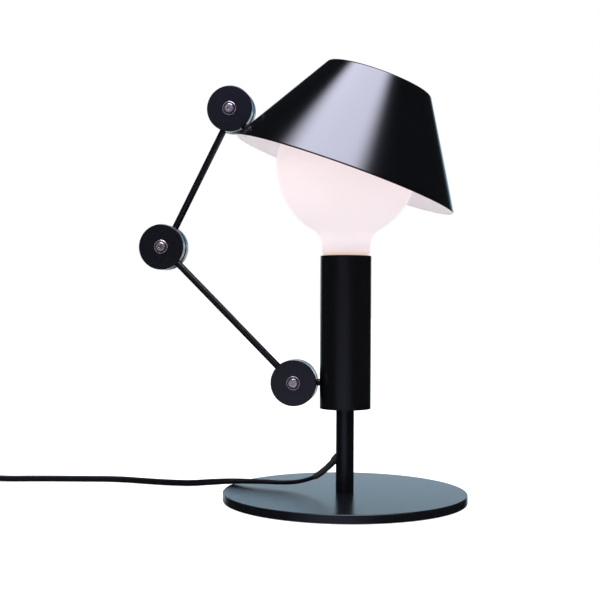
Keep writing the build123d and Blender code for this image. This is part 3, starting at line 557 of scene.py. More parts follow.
def modify(piece: Piece, kind: str, **settings: object) -> None:
    """Apply a modifier to a piece with the settings given."""
    take(piece)
    step = piece.modifiers.new(kind.lower(), kind)
    for label, value in settings.items():
        setattr(step, label, value)
    bpy.ops.object.modifier_apply(modifier=step.name)


def cut(piece: Piece, cutter: Piece) -> None:
    """Take a cutter's shape out of a piece and remove the cutter."""
    modify(piece, "BOOLEAN", operation="DIFFERENCE", solver="EXACT", object=cutter)
    bpy.data.objects.remove(cutter)


def soften(piece: Piece, bevel: float = 0.0, steps: int = 2, angle: float = 35.0) -> None:
    """Break a piece's sharp edges and shade it smooth, flat faces kept flat.

    Args:
        piece: The piece.
        bevel: Width of the broken edge in millimetres, or 0 to leave the edges.
        steps: Segments of the broken edge.
        angle: Edges sharper than this, in degrees, are broken or stay sharp.
    """
    limit = math.radians(angle)
    if bevel > 0:
        modify(piece, "BEVEL", width=bevel * MM, segments=steps, limit_method="ANGLE",
               angle_limit=limit)
    take(piece)
    bpy.ops.object.shade_smooth_by_angle(angle=limit)
    modify(piece, "WEIGHTED_NORMAL", keep_sharp=True)


def paint_twice(
    piece: Piece, first: Surface, second: Surface,
    wanted: Callable[[bpy.types.MeshPolygon], bool],
) -> None:
    """Give a piece one finish, and a second one on the faces that pass a test."""
    for finish in (first, second):
        piece.data.materials.append(paint(finish))
    for face in piece.data.polygons:
        face.material_index = int(wanted(face))


def complete(
    piece: Piece, body: Body, slot: str, *nodes: str, finish: Surface | None = None
) -> Piece:
    """Dress a piece, put it on its body and hide the CAD nodes that it stands for.

    Args:
        piece: The finished shape.
        body: The body that carries it.
        slot: The record's material slot.
        nodes: The CAD nodes that it replaces.
        finish: Its finish, if it isn't the slot's own.

    Returns:
        The same piece.
    """
    if not piece.data.materials:
        piece.data.materials.append(paint(finish or SLOT_FINISHES[slot]))
    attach(piece, body.value)
    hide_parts(*nodes)
    LOG.info("%s: %d faces on %s", piece.name, len(piece.data.polygons), body.value)
    return piece


# ---- studio


@dataclass
class Camera:
    """The photograph's camera, in millimetres."""

    place: Point = (87.286, -951.233, 173.842)
    right: Point = (0.99103492, 0.13350072, 0.00522976)
    up: Point = (-0.00469431, -0.00432529, 0.99997963)
    forward: Point = (-0.13352062, 0.99103928, 0.00365982)
    lens: float = 64.496

    def build(self) -> None:
        """Make the camera and give it to the scene."""
        data = bpy.data.cameras.new("camera")
        data.lens, data.sensor_width = self.lens, 36.0
        data.clip_start, data.clip_end = 0.05, 60.0
        camera = bpy.data.objects.new("camera", data)
        bpy.context.scene.collection.objects.link(camera)
        axes = Matrix([self.right, self.up, [-part for part in self.forward]]).transposed()
        camera.matrix_world = placed(*self.place) @ axes.to_4x4()
        bpy.context.scene.camera = camera


@dataclass(frozen=True)
class SoftBox:
    """A rectangular studio light that points at a height on the lamp's axis."""

    name: str
    place: Point
    target: float
    width: float
    height: float
    power: float

    def build(self) -> None:
        """Make the light."""
        data = bpy.data.lights.new(self.name, "AREA")
        data.shape = "RECTANGLE"
        data.size, data.size_y = self.width * MM, self.height * MM
        data.energy = self.power
        light = bpy.data.objects.new(self.name, data)
        bpy.context.scene.collection.objects.link(light)
        direction = (Vector((0.0, 0.0, self.target)) - Vector(self.place)).normalized()
        light.location = Vector(self.place) * MM
        light.rotation_mode = "QUATERNION"
        light.rotation_quaternion = direction.to_track_quat("-Z", "Y")
        light.visible_glossy = False


@dataclass(frozen=True)
class Reflector:
    """A bright field of the studio that glossy surfaces mirror, with soft edges.

    It lies where an axis points, and its edges are slopes: the other two axes' parts of a
    direction over this axis's part. Each edge fades from its first slope to its second.
    """

    axis: int
    sign: float
    others: tuple[int, int]
    low: tuple[Pair, Pair]
    high: tuple[Pair, Pair]
    colour: Point
    strength: float

    def light(self, graph: Graph, parts: Sequence[Socket]) -> Socket:
        """Add the field's light.

        Args:
            graph: The world's tree.
            parts: The direction's three parts.

        Returns:
            The light's shader socket.
        """
        ahead = graph.compute("MULTIPLY", parts[self.axis], self.sign)
        mask = graph.fade(ahead, 0.02, 0.10)
        for other, low, high in zip(self.others, self.low, self.high):
            slope = graph.compute("DIVIDE", parts[other], ahead)
            mask = graph.compute("MULTIPLY", mask, graph.fade(slope, *low))
            mask = graph.compute("MULTIPLY", mask, graph.fade(slope, *high, 1.0, 0.0))
        return graph.shine(self.colour, graph.compute("MULTIPLY", mask, self.strength))


OVERHEAD = Reflector(
    2, 1.0, (0, 1), ((-0.46, -0.20), (-0.95, -0.70)), ((0.42, 0.80), (-0.02, 0.24)),
    (0.80, 0.81, 1.0), 11.0,
)
BACKDROP_LOW = Reflector(
    1, 1.0, (0, 2), ((-0.95, -0.60), (-0.30, -0.10)), ((0.22, 0.38), (0.07, 0.16)),
    (0.84, 0.94, 1.0), 1.65,
)
BACKDROP_HIGH = Reflector(
    1, 1.0, (0, 2), ((-0.95, -0.60), (0.02, 0.10)), ((0.22, 0.38), (0.16, 0.42)),
    (0.48, 0.73, 0.95), 1.0,
)
FRONT_LOW = Reflector(
    1, -1.0, (0, 2), ((-1.2, -0.1), (-0.9, -0.4)), ((0.0, 0.9), (-0.08, 0.01)),
    (0.64, 0.66, 1.0), 0.58,
)
FRONT_HIGH = Reflector(
    1, -1.0, (0, 2), ((-0.8, -0.1), (0.11, 0.20)), ((0.0, 0.5), (0.3, 0.9)),
    (0.56, 0.58, 1.0), 0.50,
)


@dataclass
class Studio:
    """A white floor in a white surround, with soft boxes overhead and at the sides."""

    floor_size: float = 24.0
    floor_lift: float = 0.60
    ambient: float = 0.80
    gloom: float = 0.015
    reflectors: tuple[Reflector, ...] = (
        OVERHEAD, BACKDROP_LOW, BACKDROP_HIGH, FRONT_LOW, FRONT_HIGH,
    )
    boxes: tuple[SoftBox, ...] = (
        SoftBox("overhead_box", (150.0, -420.0, 1500.0), 300.0, 420.0, 900.0, 12.0),
        SoftBox("left_box", (-1700.0, -700.0, 900.0), 200.0, 900.0, 1200.0, 12.0),
        SoftBox("right_box", (1500.0, -600.0, 700.0), 200.0, 500.0, 1200.0, 8.0),
    )

    def build(self) -> None:
        """Make the floor, the surround and the lights."""
        bpy.context.scene.view_settings.view_transform = "Standard"
        bpy.ops.mesh.primitive_plane_add(size=self.floor_size)
        floor = named("studio_floor")
        floor.data.materials.append(self.floor_material())
        floor.visible_glossy = False
        self.surround()
        for box in self.boxes:
            box.build()

    def floor_material(self) -> bpy.types.Material:
        """White floor that keeps its shadows; the surround stands for it in reflections."""
        made, graph, shader = open_material("studio_floor_white")
        in_view = graph.add("LightPath").outputs["Is Camera Ray"]
        graph.feed(shader, {
            "Base Color": (0.8, 0.8, 0.8), "Roughness": 1.0, "Specular IOR Level": 0.0,
            "Emission Color": (1.0, 1.0, 1.0),
            "Emission Strength": graph.compute("MULTIPLY", in_view, self.floor_lift),
        })
        return made

    def surround(self) -> None:
        """White world in view; mirrored, a dark room with a few bright fields."""
        world = bpy.data.worlds.new("surround")
        world.use_nodes = True
        bpy.context.scene.world = world
        world.node_tree.nodes.clear()
        graph = Graph(world.node_tree)
        path = graph.add("LightPath").outputs
        way = graph.add("TexCoord").outputs["Generated"]
        parts = graph.add("SeparateXYZ", {0: way}).outputs
        room = graph.shine((0.8, 0.85, 1.0), self.gloom)
        for reflector in self.reflectors:
            room = graph.add("AddShader", {0: room, 1: reflector.light(graph, parts)}).outputs[0]
        plain = graph.shine((0.95, 0.96, 1.0), self.ambient)
        unseen = graph.add("MixShader", {0: path["Is Glossy Ray"], 1: plain, 2: room})
        in_view = graph.compute("MAXIMUM", path["Is Camera Ray"], path["Is Transmission Ray"])
        white = graph.shine((1.0, 1.0, 1.0), 1.0)
        whole = graph.add("MixShader", {0: in_view, 1: unseen.outputs[0], 2: white})
        graph.add("OutputWorld", {"Surface": whole.outputs[0]})


# ---- cords


def smooth_line(points: Sequence[Point]) -> list[Vector]:
    """The smooth line through a route's points, in metres, read from a NURBS spline."""
    curve = bpy.data.curves.new("route", "CURVE")
    curve.dimensions = "3D"
    curve.resolution_u = 10
    spline = curve.splines.new("NURBS")
    spline.points.add(len(points) - 1)
    for place, point in zip(spline.points, points):
        place.co = (*point, 1.0)
    spline.order_u = 3
    spline.use_endpoint_u = True
    route = bpy.data.objects.new("route", curve)
    bpy.context.scene.collection.objects.link(route)
    mesh = bpy.data.meshes.new_from_object(route)
    line = [vertex.co.copy() for vertex in mesh.vertices]
    bpy.data.objects.remove(route)
    bpy.data.meshes.remove(mesh)
    return line


def sweep(
    name: str, line: Sequence[Vector], section: Callable[[float], list[Pair]],
    turn: Callable[[Vector], float],
) -> Piece:
    """Sweep an outline along a line.

    Args:
        name: The piece's name.
        line: Points of the line in metres.
        section: Outline in millimetres at a distance, in millimetres, along the line.
        turn: Turn of the outline about the line, in degrees, at a point.

    Returns:
        The swept mesh, closed at both ends.
    """
    vertices, faces, walked = [], [], 0.0
    count = len(section(0.0))
    for index, point in enumerate(line):
        before, after = line[max(index - 1, 0)], line[min(index + 1, len(line) - 1)]
        ahead = (after - before).normalized()
        side = ahead.cross(Vector((0.0, 0.0, 1.0))).normalized()
        above = side.cross(ahead)
        if index:
            walked += (point - line[index - 1]).length
        angle = math.radians(turn(point))
        across = side * math.cos(angle) + above * math.sin(angle)
        upward = above * math.cos(angle) - side * math.sin(angle)
        for x, y in section(walked / MM):
            vertices.append(point + (across * x + upward * y) * MM)
        if index:
            start = (index - 1) * count
            for step in range(count):
                following = (step + 1) % count
                faces.append((start + step, start + following,
                              start + count + following, start + count + step))
    faces.append(tuple(range(count - 1, -1, -1)))
    faces.append(tuple(range(len(vertices) - count, len(vertices))))
    mesh = bpy.data.meshes.new(name)
    mesh.from_pydata([tuple(vertex) for vertex in vertices], [], faces)
    piece = bpy.data.objects.new(name, mesh)
    bpy.context.scene.collection.objects.link(piece)
    with editing(piece):
        bpy.ops.mesh.select_all(action="SELECT")
        bpy.ops.mesh.normals_make_consistent(inside=False)
    bpy.ops.object.shade_smooth_by_angle(angle=math.radians(50))
    return piece


@dataclass
class MainsCord:
    """The flat twin cord: post to switch, and switch through the coil to the plug."""

    width: float = 5.9
    thickness: float = 3.6
    groove: float = 0.84
    exit_point: Point = (-0.008, 0.0, 0.0364)
    link_exit: Point = (-0.438, 0.042, 0.006)
    lead: tuple[Point, ...] = (
        (-0.0058, 0.0, 0.0388), (-0.0200, -0.0004, 0.0228), (-0.0371, 0.0023, 0.0154),
        (-0.0541, 0.0074, 0.0126), (-0.0800, 0.0141, 0.0121), (-0.1060, 0.0217, 0.0106),
        (-0.1280, 0.0301, 0.0077), (-0.1510, 0.0400, 0.0041), (-0.1880, 0.0507, 0.0030),
        (-0.2260, 0.0595, 0.0032), (-0.2640, 0.0553, 0.0031), (-0.3040, 0.0496, 0.0032),
        (-0.3400, 0.0426, 0.0030), (-0.3620, 0.0420, 0.0060), (-0.3760, 0.0420, 0.0060),
    )
    flat_until: float = 0.060
    upright_from: float = 0.165
    coil_centre: Pair = (-0.477, 0.000934)
    coil_inner: float = 0.022147
    coil_pitch: float = 0.00605
    coil_round: float = 0.12
    coil_turns: float = 6.25
    coil_floor: float = 0.0037
    coil_layer: float = 0.0060
    points_per_turn: int = 16
    straight_end: float = 0.0054
    run_in: float = 0.010
    run_out: float = 0.015
    plug_mouth: Point = (-0.510, -0.060, 0.00685)
    plug_corner: Point = (-0.510, -0.041, 0.00685)
    relief_length: float = 28.6
    relief_root: float = 7.5
    relief_waist: Pair = (7.4, 5.9)
    relief_tip: Pair = (7.2, 5.3)
    relief_collar: Pair = (4.6, 7.6)
    relief_step: float = 0.0004
    relief_sides: int = 28

    def section(self, _walked: float) -> list[Pair]:
        """Outline of the flat cord, grooved between its two cores."""
        radius, apart = self.thickness / 2, (self.width - self.thickness) / 2
        outline = []
        for side in (1, -1):
            for step in range(9):
                angle = math.radians(-90 + 180 * step / 8 + (0 if side > 0 else 180))
                outline.append((side * apart + radius * math.cos(angle),
                                radius * math.sin(angle)))
            outline.append((0.0, side * radius * self.groove))
        return outline

    def coil_point(self, turn: float) -> Vector:
        """The coil's line after a number of turns from its outer start."""
        middle = self.coil_turns / 2
        radius = self.coil_inner + self.coil_pitch * math.hypot(turn - middle, self.coil_round)
        height = self.coil_floor + self.coil_layer * ease((turn - middle) / 0.5 + 0.5)
        angle = math.radians(90) + 2 * math.pi * turn
        return Vector((self.coil_centre[0] + radius * math.cos(angle),
                       self.coil_centre[1] + radius * math.sin(angle), height))

    def far_points(self) -> list[Point]:
        """Control points from the switch through the coil to the plug."""
        step = 0.001
        start, end = self.coil_point(0.0), self.coil_point(self.coil_turns)
        start_way = (self.coil_point(step) - start).normalized()
        end_way = (end - self.coil_point(self.coil_turns - step)).normalized()
        points = [Vector(self.link_exit), Vector(self.link_exit) - Vector((self.run_in, 0.0, 0.0)),
                  start - start_way * (self.straight_end + self.run_in),
                  start - start_way * self.straight_end]
        outward = 2.0 / (1.0 + math.cos(math.pi / self.points_per_turn))
        steps = round(self.coil_turns * self.points_per_turn)
        for index in range(steps + 1):
            point = self.coil_point(self.coil_turns * index / steps)
            for axis in (0, 1):
                offset = point[axis] - self.coil_centre[axis]
                point[axis] = self.coil_centre[axis] + offset * outward
            points.append(point)
        points += [end + end_way * self.straight_end,
                   end + end_way * (self.straight_end + self.run_out),
                   Vector(self.plug_corner), Vector(self.plug_mouth)]
        return [tuple(point) for point in points]

    def lead_turn(self, point: Vector) -> float:
        """Turn of the cord before the switch: flat over the base, then on edge."""
        return 90.0 * ease((-point.x - self.flat_until) / (self.upright_from - self.flat_until))

    def far_turn(self, point: Vector) -> float:
        """Turn of the far cord: on edge, then flat where it enters the plug."""
        flat = ease((-point.y - 0.030) / 0.025) if point.x < -0.500 else 0.0
        return 90.0 * (1.0 - flat)

    def relief_section(self, walked: float) -> list[Pair]:
        """Outline of the strain relief: a round collar at the post, then a slim oval taper."""
        start, end = self.relief_collar
        share = min(walked / self.relief_length, 1.0)
        collar = ease((end - walked) / (end - start))
        width, height = (waist + (tip - waist) * share
                         for waist, tip in zip(self.relief_waist, self.relief_tip))
        width += (self.relief_root - width) * collar
        height += (self.relief_root - height) * collar
        steps = self.relief_sides
        return [(width / 2 * math.cos(2 * math.pi * i / steps),
                 height / 2 * math.sin(2 * math.pi * i / steps)) for i in range(steps)]

    def relief_line(self, line: Sequence[Vector]) -> list[Vector]:
        """The first stretch of the lead's line in finer steps, as long as the relief is."""
        fine, walked = [], 0.0
        for start, end in zip(line, line[1:]):
            span = (end - start).length
            steps = max(int(span / self.relief_step), 1)
            for index in range(steps):
                if walked + span * index / steps <= self.relief_length * MM:
                    fine.append(start.lerp(end, index / steps))
            walked += span
        return fine

    def build_lead(self) -> None:
        """Make the stretch from the post to the switch and its strain relief."""
        line = smooth_line(self.lead)
        cord = sweep("cord_post_to_switch", line, self.section, self.lead_turn)
        complete(cord, Body.STAND, "cord_black", "cord_lead")
        relief = sweep("strain_relief_sleeve", self.relief_line(line), self.relief_section,
                       lambda point: 0.0)
        complete(relief, Body.STAND, "relief_rubber", "strain_relief")

    def build_far(self, pieces: Sequence[Piece]) -> None:
        """Make the stretch from the switch through the coil to the plug."""
        line = smooth_line(self.far_points())
        cord = sweep("cord_switch_to_plug", line, self.section, self.far_turn)
        complete(cord, Body.STAND, "cord_black", "cord_link", "cord_coil", "cord_tail")


@dataclass
class CoilTie:
    """The band that holds the put-away coil together."""

    centre: Pair = (-477.0, 0.934)
    inner: float = 22.147 - 2.95 - 0.53
    outer: float = 41.08 + 2.95
    bottom: float = 0.75
    top: float = 12.65
    width: float = 9.0
    thickness: float = 0.65
    angle: float = 290.0

    def build(self) -> Piece:
        """Make the band as an open box with rounded corners and a thin wall."""
        band = block("coil_tie_band", (self.inner, -self.width / 2, self.bottom),
                     (self.outer, self.width / 2, self.top))
        round_edges(band, lambda a, b: abs(a.y - b.y) > 0.001, 1.9, 5)
        for face in band.data.polygons:
            face.select = abs(face.normal.y) > 0.9
        with editing(band, "FACE"):
            bpy.ops.mesh.delete(type="FACE")
        modify(band, "SOLIDIFY", thickness=self.thickness * MM, offset=1.0)
        settle(band, placed(*self.centre, 0.0, self.angle))
        soften(band, 0.15, 2, 50)
        return complete(band, Body.STAND, "tie_black", "coil_tie")


# ---- the stand


def turned(
    name: str, rings: Sequence[Pair], sides: int, hollow: bool, angle: float, body: Body,
    slot: str, node: str, place: Matrix | None = None,
) -> None:
    """Turn a piece, shade it and complete it.

    Args:
        name: The piece's name.
        rings: Its outline as (radius, height), in millimetres.
        sides: Faces around.
        hollow: True if the outline closes on itself around a bore.
        angle: Edges sharper than this, in degrees, stay sharp.
        body: The body that carries it.
        slot: The record's material slot.
        node: The CAD node that it replaces.
        place: Where it goes, if not where it was turned.
    """
    piece = lathe(name, rings, sides, hollow)
    if place is not None:
        settle(piece, place)
    soften(piece, angle=angle)
    complete(piece, body, slot, node)


@dataclass
class Foot:
    """The round base plate and the post that stands on it."""

    radius: float = 108.0
    bottom: float = 0.5
    top: float = 8.0
    top_rings: tuple[float, ...] = (105.0, 78.0, 40.0, 9.0)
    edge: float = 0.8
    recess_radius: float = 102.1
    recess_top: float = 2.0
    post_radius: float = 8.0
    post_bore: float = 6.5
    post_top: float = 91.9
    post_edge: float = 0.3

    def build(self) -> None:
        """Make both pieces."""
        turned("base_plate_turned", [
            (self.recess_radius, self.recess_top), (self.recess_radius, self.bottom),
            *arc((self.radius - self.edge, self.bottom + self.edge), self.edge, -90, 0, 5),
            *arc((self.radius - self.edge, self.top - self.edge), self.edge, 0, 90, 6),
            *((radius, self.top) for radius in self.top_rings),
        ], 192, False, 35, Body.STAND, "base_black", "base_plate")
        shoulder = self.post_radius - self.post_edge
        turned("post_tube", [
            (self.post_bore, self.top), (shoulder, self.top),
            (self.post_radius, self.top + self.post_edge),
            (self.post_radius, self.post_top - self.post_edge),
            (shoulder, self.post_top), (self.post_bore, self.post_top),
        ], 96, True, 50, Body.STAND, "body_black", "post")


@dataclass
class Housing:
    """The thick tube round the lampholder and its flush bottom cap."""

    radius: float = 22.75
    bore: float = 20.95
    cap_bore: float = 8.05
    bottom: float = 81.4
    seam: float = 83.9
    seam_edge: float = 0.2
    top: float = 216.6
    edge: float = 0.4
    bore_edge: float = 0.25

    def build(self) -> None:
        """Make both pieces, with the fine seam between them."""
        corner, lip = self.radius - self.edge, self.radius - self.seam_edge
        turned("housing_sleeve", [
            (self.bore, self.seam), (lip, self.seam), (self.radius, self.seam + self.seam_edge),
            (self.radius, self.top - self.edge),
            *arc((corner, self.top - self.edge), self.edge, 30, 90, 3),
            (self.bore + self.bore_edge, self.top), (self.bore, self.top - self.bore_edge),
        ], 128, True, 50, Body.STAND, "body_black", "housing_tube")
        turned("housing_foot_cap", [
            (self.cap_bore, self.seam), (self.cap_bore, self.bottom), (corner, self.bottom),
            *arc((corner, self.bottom + self.edge), self.edge, -60, 0, 3),
            (self.radius, self.seam - self.seam_edge), (lip, self.seam),
        ], 128, True, 50, Body.STAND, "body_black", "housing_bottom_cap")


@dataclass
class Bulb:
    """The opal globe, blown in one with its neck."""

    globe_radius: float = 62.5
    neck_radius: float = 21.7
    foot_radius: float = 12.7
    foot: float = 203.0
    taper_foot: float = 208.0
    shoulder: float = 219.5
    neck_top: float = 226.0
    blend: float = 16.27
    shoulder_round: float = 8.0

    def build(self) -> None:
        """Make the glass, its outline running from its foot to its top."""
        reach = self.globe_radius + self.blend
        across = self.neck_radius + self.blend
        drop = math.sqrt(reach**2 - across**2)
        swing = math.degrees(math.asin(drop / reach))
        slope = math.atan2(self.shoulder - self.taper_foot, self.neck_radius - self.foot_radius)
        turn = math.pi / 2 - slope
        run = self.shoulder_round * math.tan(turn / 2)
        turned("bulb_opal_globe", [
            (self.foot_radius, self.foot), (self.foot_radius, self.taper_foot),
            *arc((self.neck_radius - self.shoulder_round, self.shoulder + run),
                 self.shoulder_round, -math.degrees(turn), 0, 6),
            *arc((across, self.neck_top), self.blend, 180, 180 - swing, 10),
            *arc((0.0, self.neck_top + drop), self.globe_radius, -swing, 89.0, 56)[1:],
        ], 128, False, 60, Body.STAND, "opal_glass", "bulb_globe")


# ---- joints and arms


@dataclass
class FrictionJoint:
    """Two discs on one screw, with a rubber washer between them."""

    prefix: str
    centre: Pair
    front_body: Body
    back_body: Body
    radius: float = 20.4
    thickness: float = 8.6
    edge: float = 0.5
    front_y: float = -11.9
    back_y: float = 0.0
    bore: float = 2.55
    washer_radius: float = 17.0
    washer_edge: float = 0.3
    cup_radius: float = 6.2
    cup_bore: float = 2.6
    cup_wall: float = 0.8
    cup_recess: float = 0.9
    lip_height: float = 1.4
    lip_round: float = 0.5
    screw_radius: float = 2.5
    head_radius: float = 4.1
    head_height: float = 2.8
    head_round: float = 0.84
    head_seat: float = 0.83
    key_flats: float = 3.0
    key_floor: float = 1.2
    nut_flats: float = 8.0
    nut_bore: float = 5.1
    nut_height: float = 4.0
    pocket_depth: float = 4.6

    def facing(self, depth: float) -> Matrix:
        """Matrix that turns Z towards the front, on the joint's axis at a depth y."""
        return placed(self.centre[0], depth, self.centre[1], 90, "X")

    def disc(self, name: str, front: bool) -> Piece:
        """One disc about Z, its outer face upwards."""
        half, cup = self.thickness / 2, self.cup_radius + 0.05
        floor = half - self.cup_recess
        rings = [
            (self.bore, -half), (self.radius - self.edge, -half),
            (self.radius, -half + self.edge), (self.radius, half - self.edge),
            (self.radius - self.edge, half),
        ]
        rings += [(cup, half), (cup, floor), (self.bore, floor)] if front else [(self.bore, half)]
        disc = lathe(name, rings, 96, hollow=True)
        if not front:
            cut(disc, prism("pocket", 6, self.nut_flats + 0.1, half - self.pocket_depth, half + 2))
        soften(disc, 0.22, 2, 30)
        return disc

    def build(self) -> None:
        """Make the joint's discs, washers, screw and nut."""
        half = self.thickness / 2
        front = self.disc(f"{self.prefix}_front_knob", True)
        settle(front, self.facing(self.front_y))
        complete(front, self.front_body, "joint_black", f"{self.prefix}_front_disc")
        back = self.disc(f"{self.prefix}_back_knob", False)
        settle(back, self.facing(self.back_y) @ Matrix.Rotation(math.pi, 4, "X"))
        complete(back, self.back_body, "joint_black", f"{self.prefix}_back_disc")
        gap_front = self.front_y + half
        gap, edge = self.back_y - half - gap_front, self.washer_edge
        turned(f"{self.prefix}_rubber_washer", [
            (self.bore, 0.0), (self.washer_radius - edge, 0.0), (self.washer_radius, edge),
            (self.washer_radius, gap - edge), (self.washer_radius - edge, gap), (self.bore, gap),
        ], 72, True, 40, self.back_body, "friction_rubber", f"{self.prefix}_friction_washer",
            self.facing(gap_front + gap))
        self.hardware(self.front_y - half + self.cup_recess,
                      self.back_y + half - self.pocket_depth)

    def hardware(self, cup_floor: float, nut_front: float) -> None:
        """Make the cup washer, with painted shade in its recess, the socket screw and the nut.

        Args:
            cup_floor: Depth y of the cup washer's seat.
            nut_front: Depth y of the nut's front.
        """
        outer, bore = self.cup_radius, self.cup_bore
        cup = lathe(f"{self.prefix}_finishing_cup", [
            (bore, 0.0), (outer, 0.0), (outer, self.lip_height - 0.05),
            *arc((outer - self.lip_round, self.lip_height), self.lip_round, 0, 180, 8),
            (outer - 2 * self.lip_round - 0.1, self.cup_wall), (bore, self.cup_wall),
        ], 64, hollow=True)
        # Painted shade: the cup's floor and the inside of its lip take black rubber, a dark ring
        # standing in for the shade round the screw head.
        inside = (outer - 2 * self.lip_round - 0.05) * MM
        paint_twice(cup, CHROME, RUBBER,
                    lambda face: math.hypot(face.center.x, face.center.y) < inside)
        settle(cup, self.facing(cup_floor))
        soften(cup, angle=40)
        complete(cup, self.front_body, "chrome", f"{self.prefix}_cup_washer")
        seat, nut_back = cup_floor - self.head_seat, nut_front + self.nut_height
        shoulder = self.head_height - self.head_round
        screw = lathe(f"{self.prefix}_socket_screw", [
            (self.screw_radius, seat - nut_back), (self.screw_radius, 0.0),
            (self.head_radius, 0.0), (self.head_radius, shoulder),
            *arc((self.head_radius - self.head_round, shoulder), self.head_round, 15, 90, 5),
            (2.3, self.head_height),
        ], 64)
        cut(screw, prism("key", 6, self.key_flats, self.key_floor, self.head_height + 1.2))
        settle(screw, self.facing(seat))
        soften(screw, 0.1, 2, 40)
        complete(screw, self.back_body, "chrome", f"{self.prefix}_screw")
        nut = hex_nut(f"{self.prefix}_hex_nut", self.nut_flats, self.nut_bore,
                      self.nut_height)
        settle(nut, self.facing(nut_back))
        complete(nut, self.back_body, "steel", f"{self.prefix}_nut")


def hex_nut(name: str, flats: float, bore: float, height: float) -> Piece:
    """A hexagon nut about Z from height 0, its corners turned off and its bore cut through."""
    nut = prism(name, 6, flats, 0.0, height)
    cut(nut, prism("bore", 40, bore, -1.0, height + 1.0))
    corner = flats / 2 / math.cos(math.radians(30))
    cut(nut, lathe("corner_ring", [
        (corner * 0.93, height + 0.5), (corner * 0.93, height), (corner + 0.6, height - 0.9),
        (corner + 0.6, height + 0.5),
    ], 48, hollow=True))
    soften(nut, 0.12, 2, 40)
    return nut


@dataclass
class Rod:
    """A round rod with chamfered ends that leaves a joint at an angle from +X."""

    name: str
    node: str
    body: Body
    centre: Pair
    depth: float
    angle: float
    end: float
    start: float = 11.4
    radius: float = 3.0
    edge: float = 0.4
    white_from: float | None = None

    def along(self) -> Matrix:
        """Matrix that turns Z along the rod, from the joint's centre."""
        return placed(self.centre[0], self.depth, self.centre[1], 90 - self.angle, "Y")

    def build(self) -> None:
        """Make the rod, its end painted with the shade's inside if it reaches in there."""
        white_from = self.end if self.white_from is None else self.white_from
        rod = lathe(self.name, [
            (self.radius - self.edge, self.start), (self.radius, self.start + self.edge),
            (self.radius, min(white_from, self.end - 2 * self.edge)),
            (self.radius, self.end - self.edge), (self.radius - self.edge, self.end),
        ], 64)
        if self.white_from is not None:
            paint_twice(rod, BLACK_PAINT, INSIDE_WHITE,
                        lambda face: face.center.z > white_from * MM)
        settle(rod, self.along())
        soften(rod, angle=40)
        complete(rod, self.body, "arm_black", self.node)


@dataclass
class Shade:
    """The sheet cone: black outside, white inside."""

    centre: Point = (-0.2776, -11.9, 286.624)
    tilt: float = 19.8
    mouth: float = 101.2
    top: float = 47.5
    height: float = 89.0
    wall: float = 1.0
    corner: float = 3.0
    rim_round: float = 0.8
    top_rings: Pair = (3.0, 25.0)

    def build(self) -> None:
        """Turn the shade upright, inside first, and tilt it into place."""
        slope = math.atan2(self.mouth - self.top, self.height)
        inner_mouth = self.mouth - self.wall / math.cos(slope)
        inner_height = self.height - self.wall
        inner_top = inner_mouth - inner_height * math.tan(slope)
        inside = self.turn_in(inner_top, inner_height, self.corner - self.wall, slope)
        outside = self.turn_in(self.top, self.height, self.corner, slope)
        rim_radius = self.mouth - self.rim_round * (1 + math.sin(slope)) / math.cos(slope)
        rim = arc((rim_radius, self.rim_round), self.rim_round, -90, math.degrees(slope), 7)
        shade = lathe("shade_cone", [
            *((radius, inner_height) for radius in self.top_rings), *reversed(inside),
            *self.wall_rings(inside[0], (inner_mouth, 0.08)), *rim,
            *reversed(self.wall_rings(outside[0], rim[-1])[:-1]), *outside,
            *((radius, self.height) for radius in reversed(self.top_rings)),
        ], 192)

        def is_inside(face: bpy.types.MeshPolygon) -> bool:
            """Tell if a face looks inwards or down and isn't on the rim."""
            across = Vector((face.center.x, face.center.y, 0.0))
            outward = (face.normal.dot(across.normalized()) * math.cos(slope)
                       + face.normal.z * math.sin(slope))
            on_rim = face.center.z < 0.0006 and across.length > rim_radius * MM
            return outward < -0.05 and not on_rim

        paint_twice(shade, SHADE_PAINT, INSIDE_WHITE, is_inside)
        settle(shade, placed(*self.centre, self.tilt, "Y"))
        soften(shade, angle=50)
        complete(shade, Body.SHADE, "shade_paint", "shade")

    def turn_in(self, top: float, height: float, radius: float, slope: float) -> list[Pair]:
        """The rounded corner between wall and top, from the wall upwards."""
        run = radius * math.tan((math.pi / 2 - slope) / 2)
        return arc((top - run, height - radius), radius, math.degrees(slope), 90, 6)

    def wall_rings(self, high: Pair, low: Pair, steps: int = 8) -> list[Pair]:
        """Evenly spaced rings down a wall, the first one left out."""
        return [(high[0] + (low[0] - high[0]) * step / steps,
                 high[1] + (low[1] - high[1]) * step / steps) for step in range(1, steps + 1)]


# ---- switch and plug


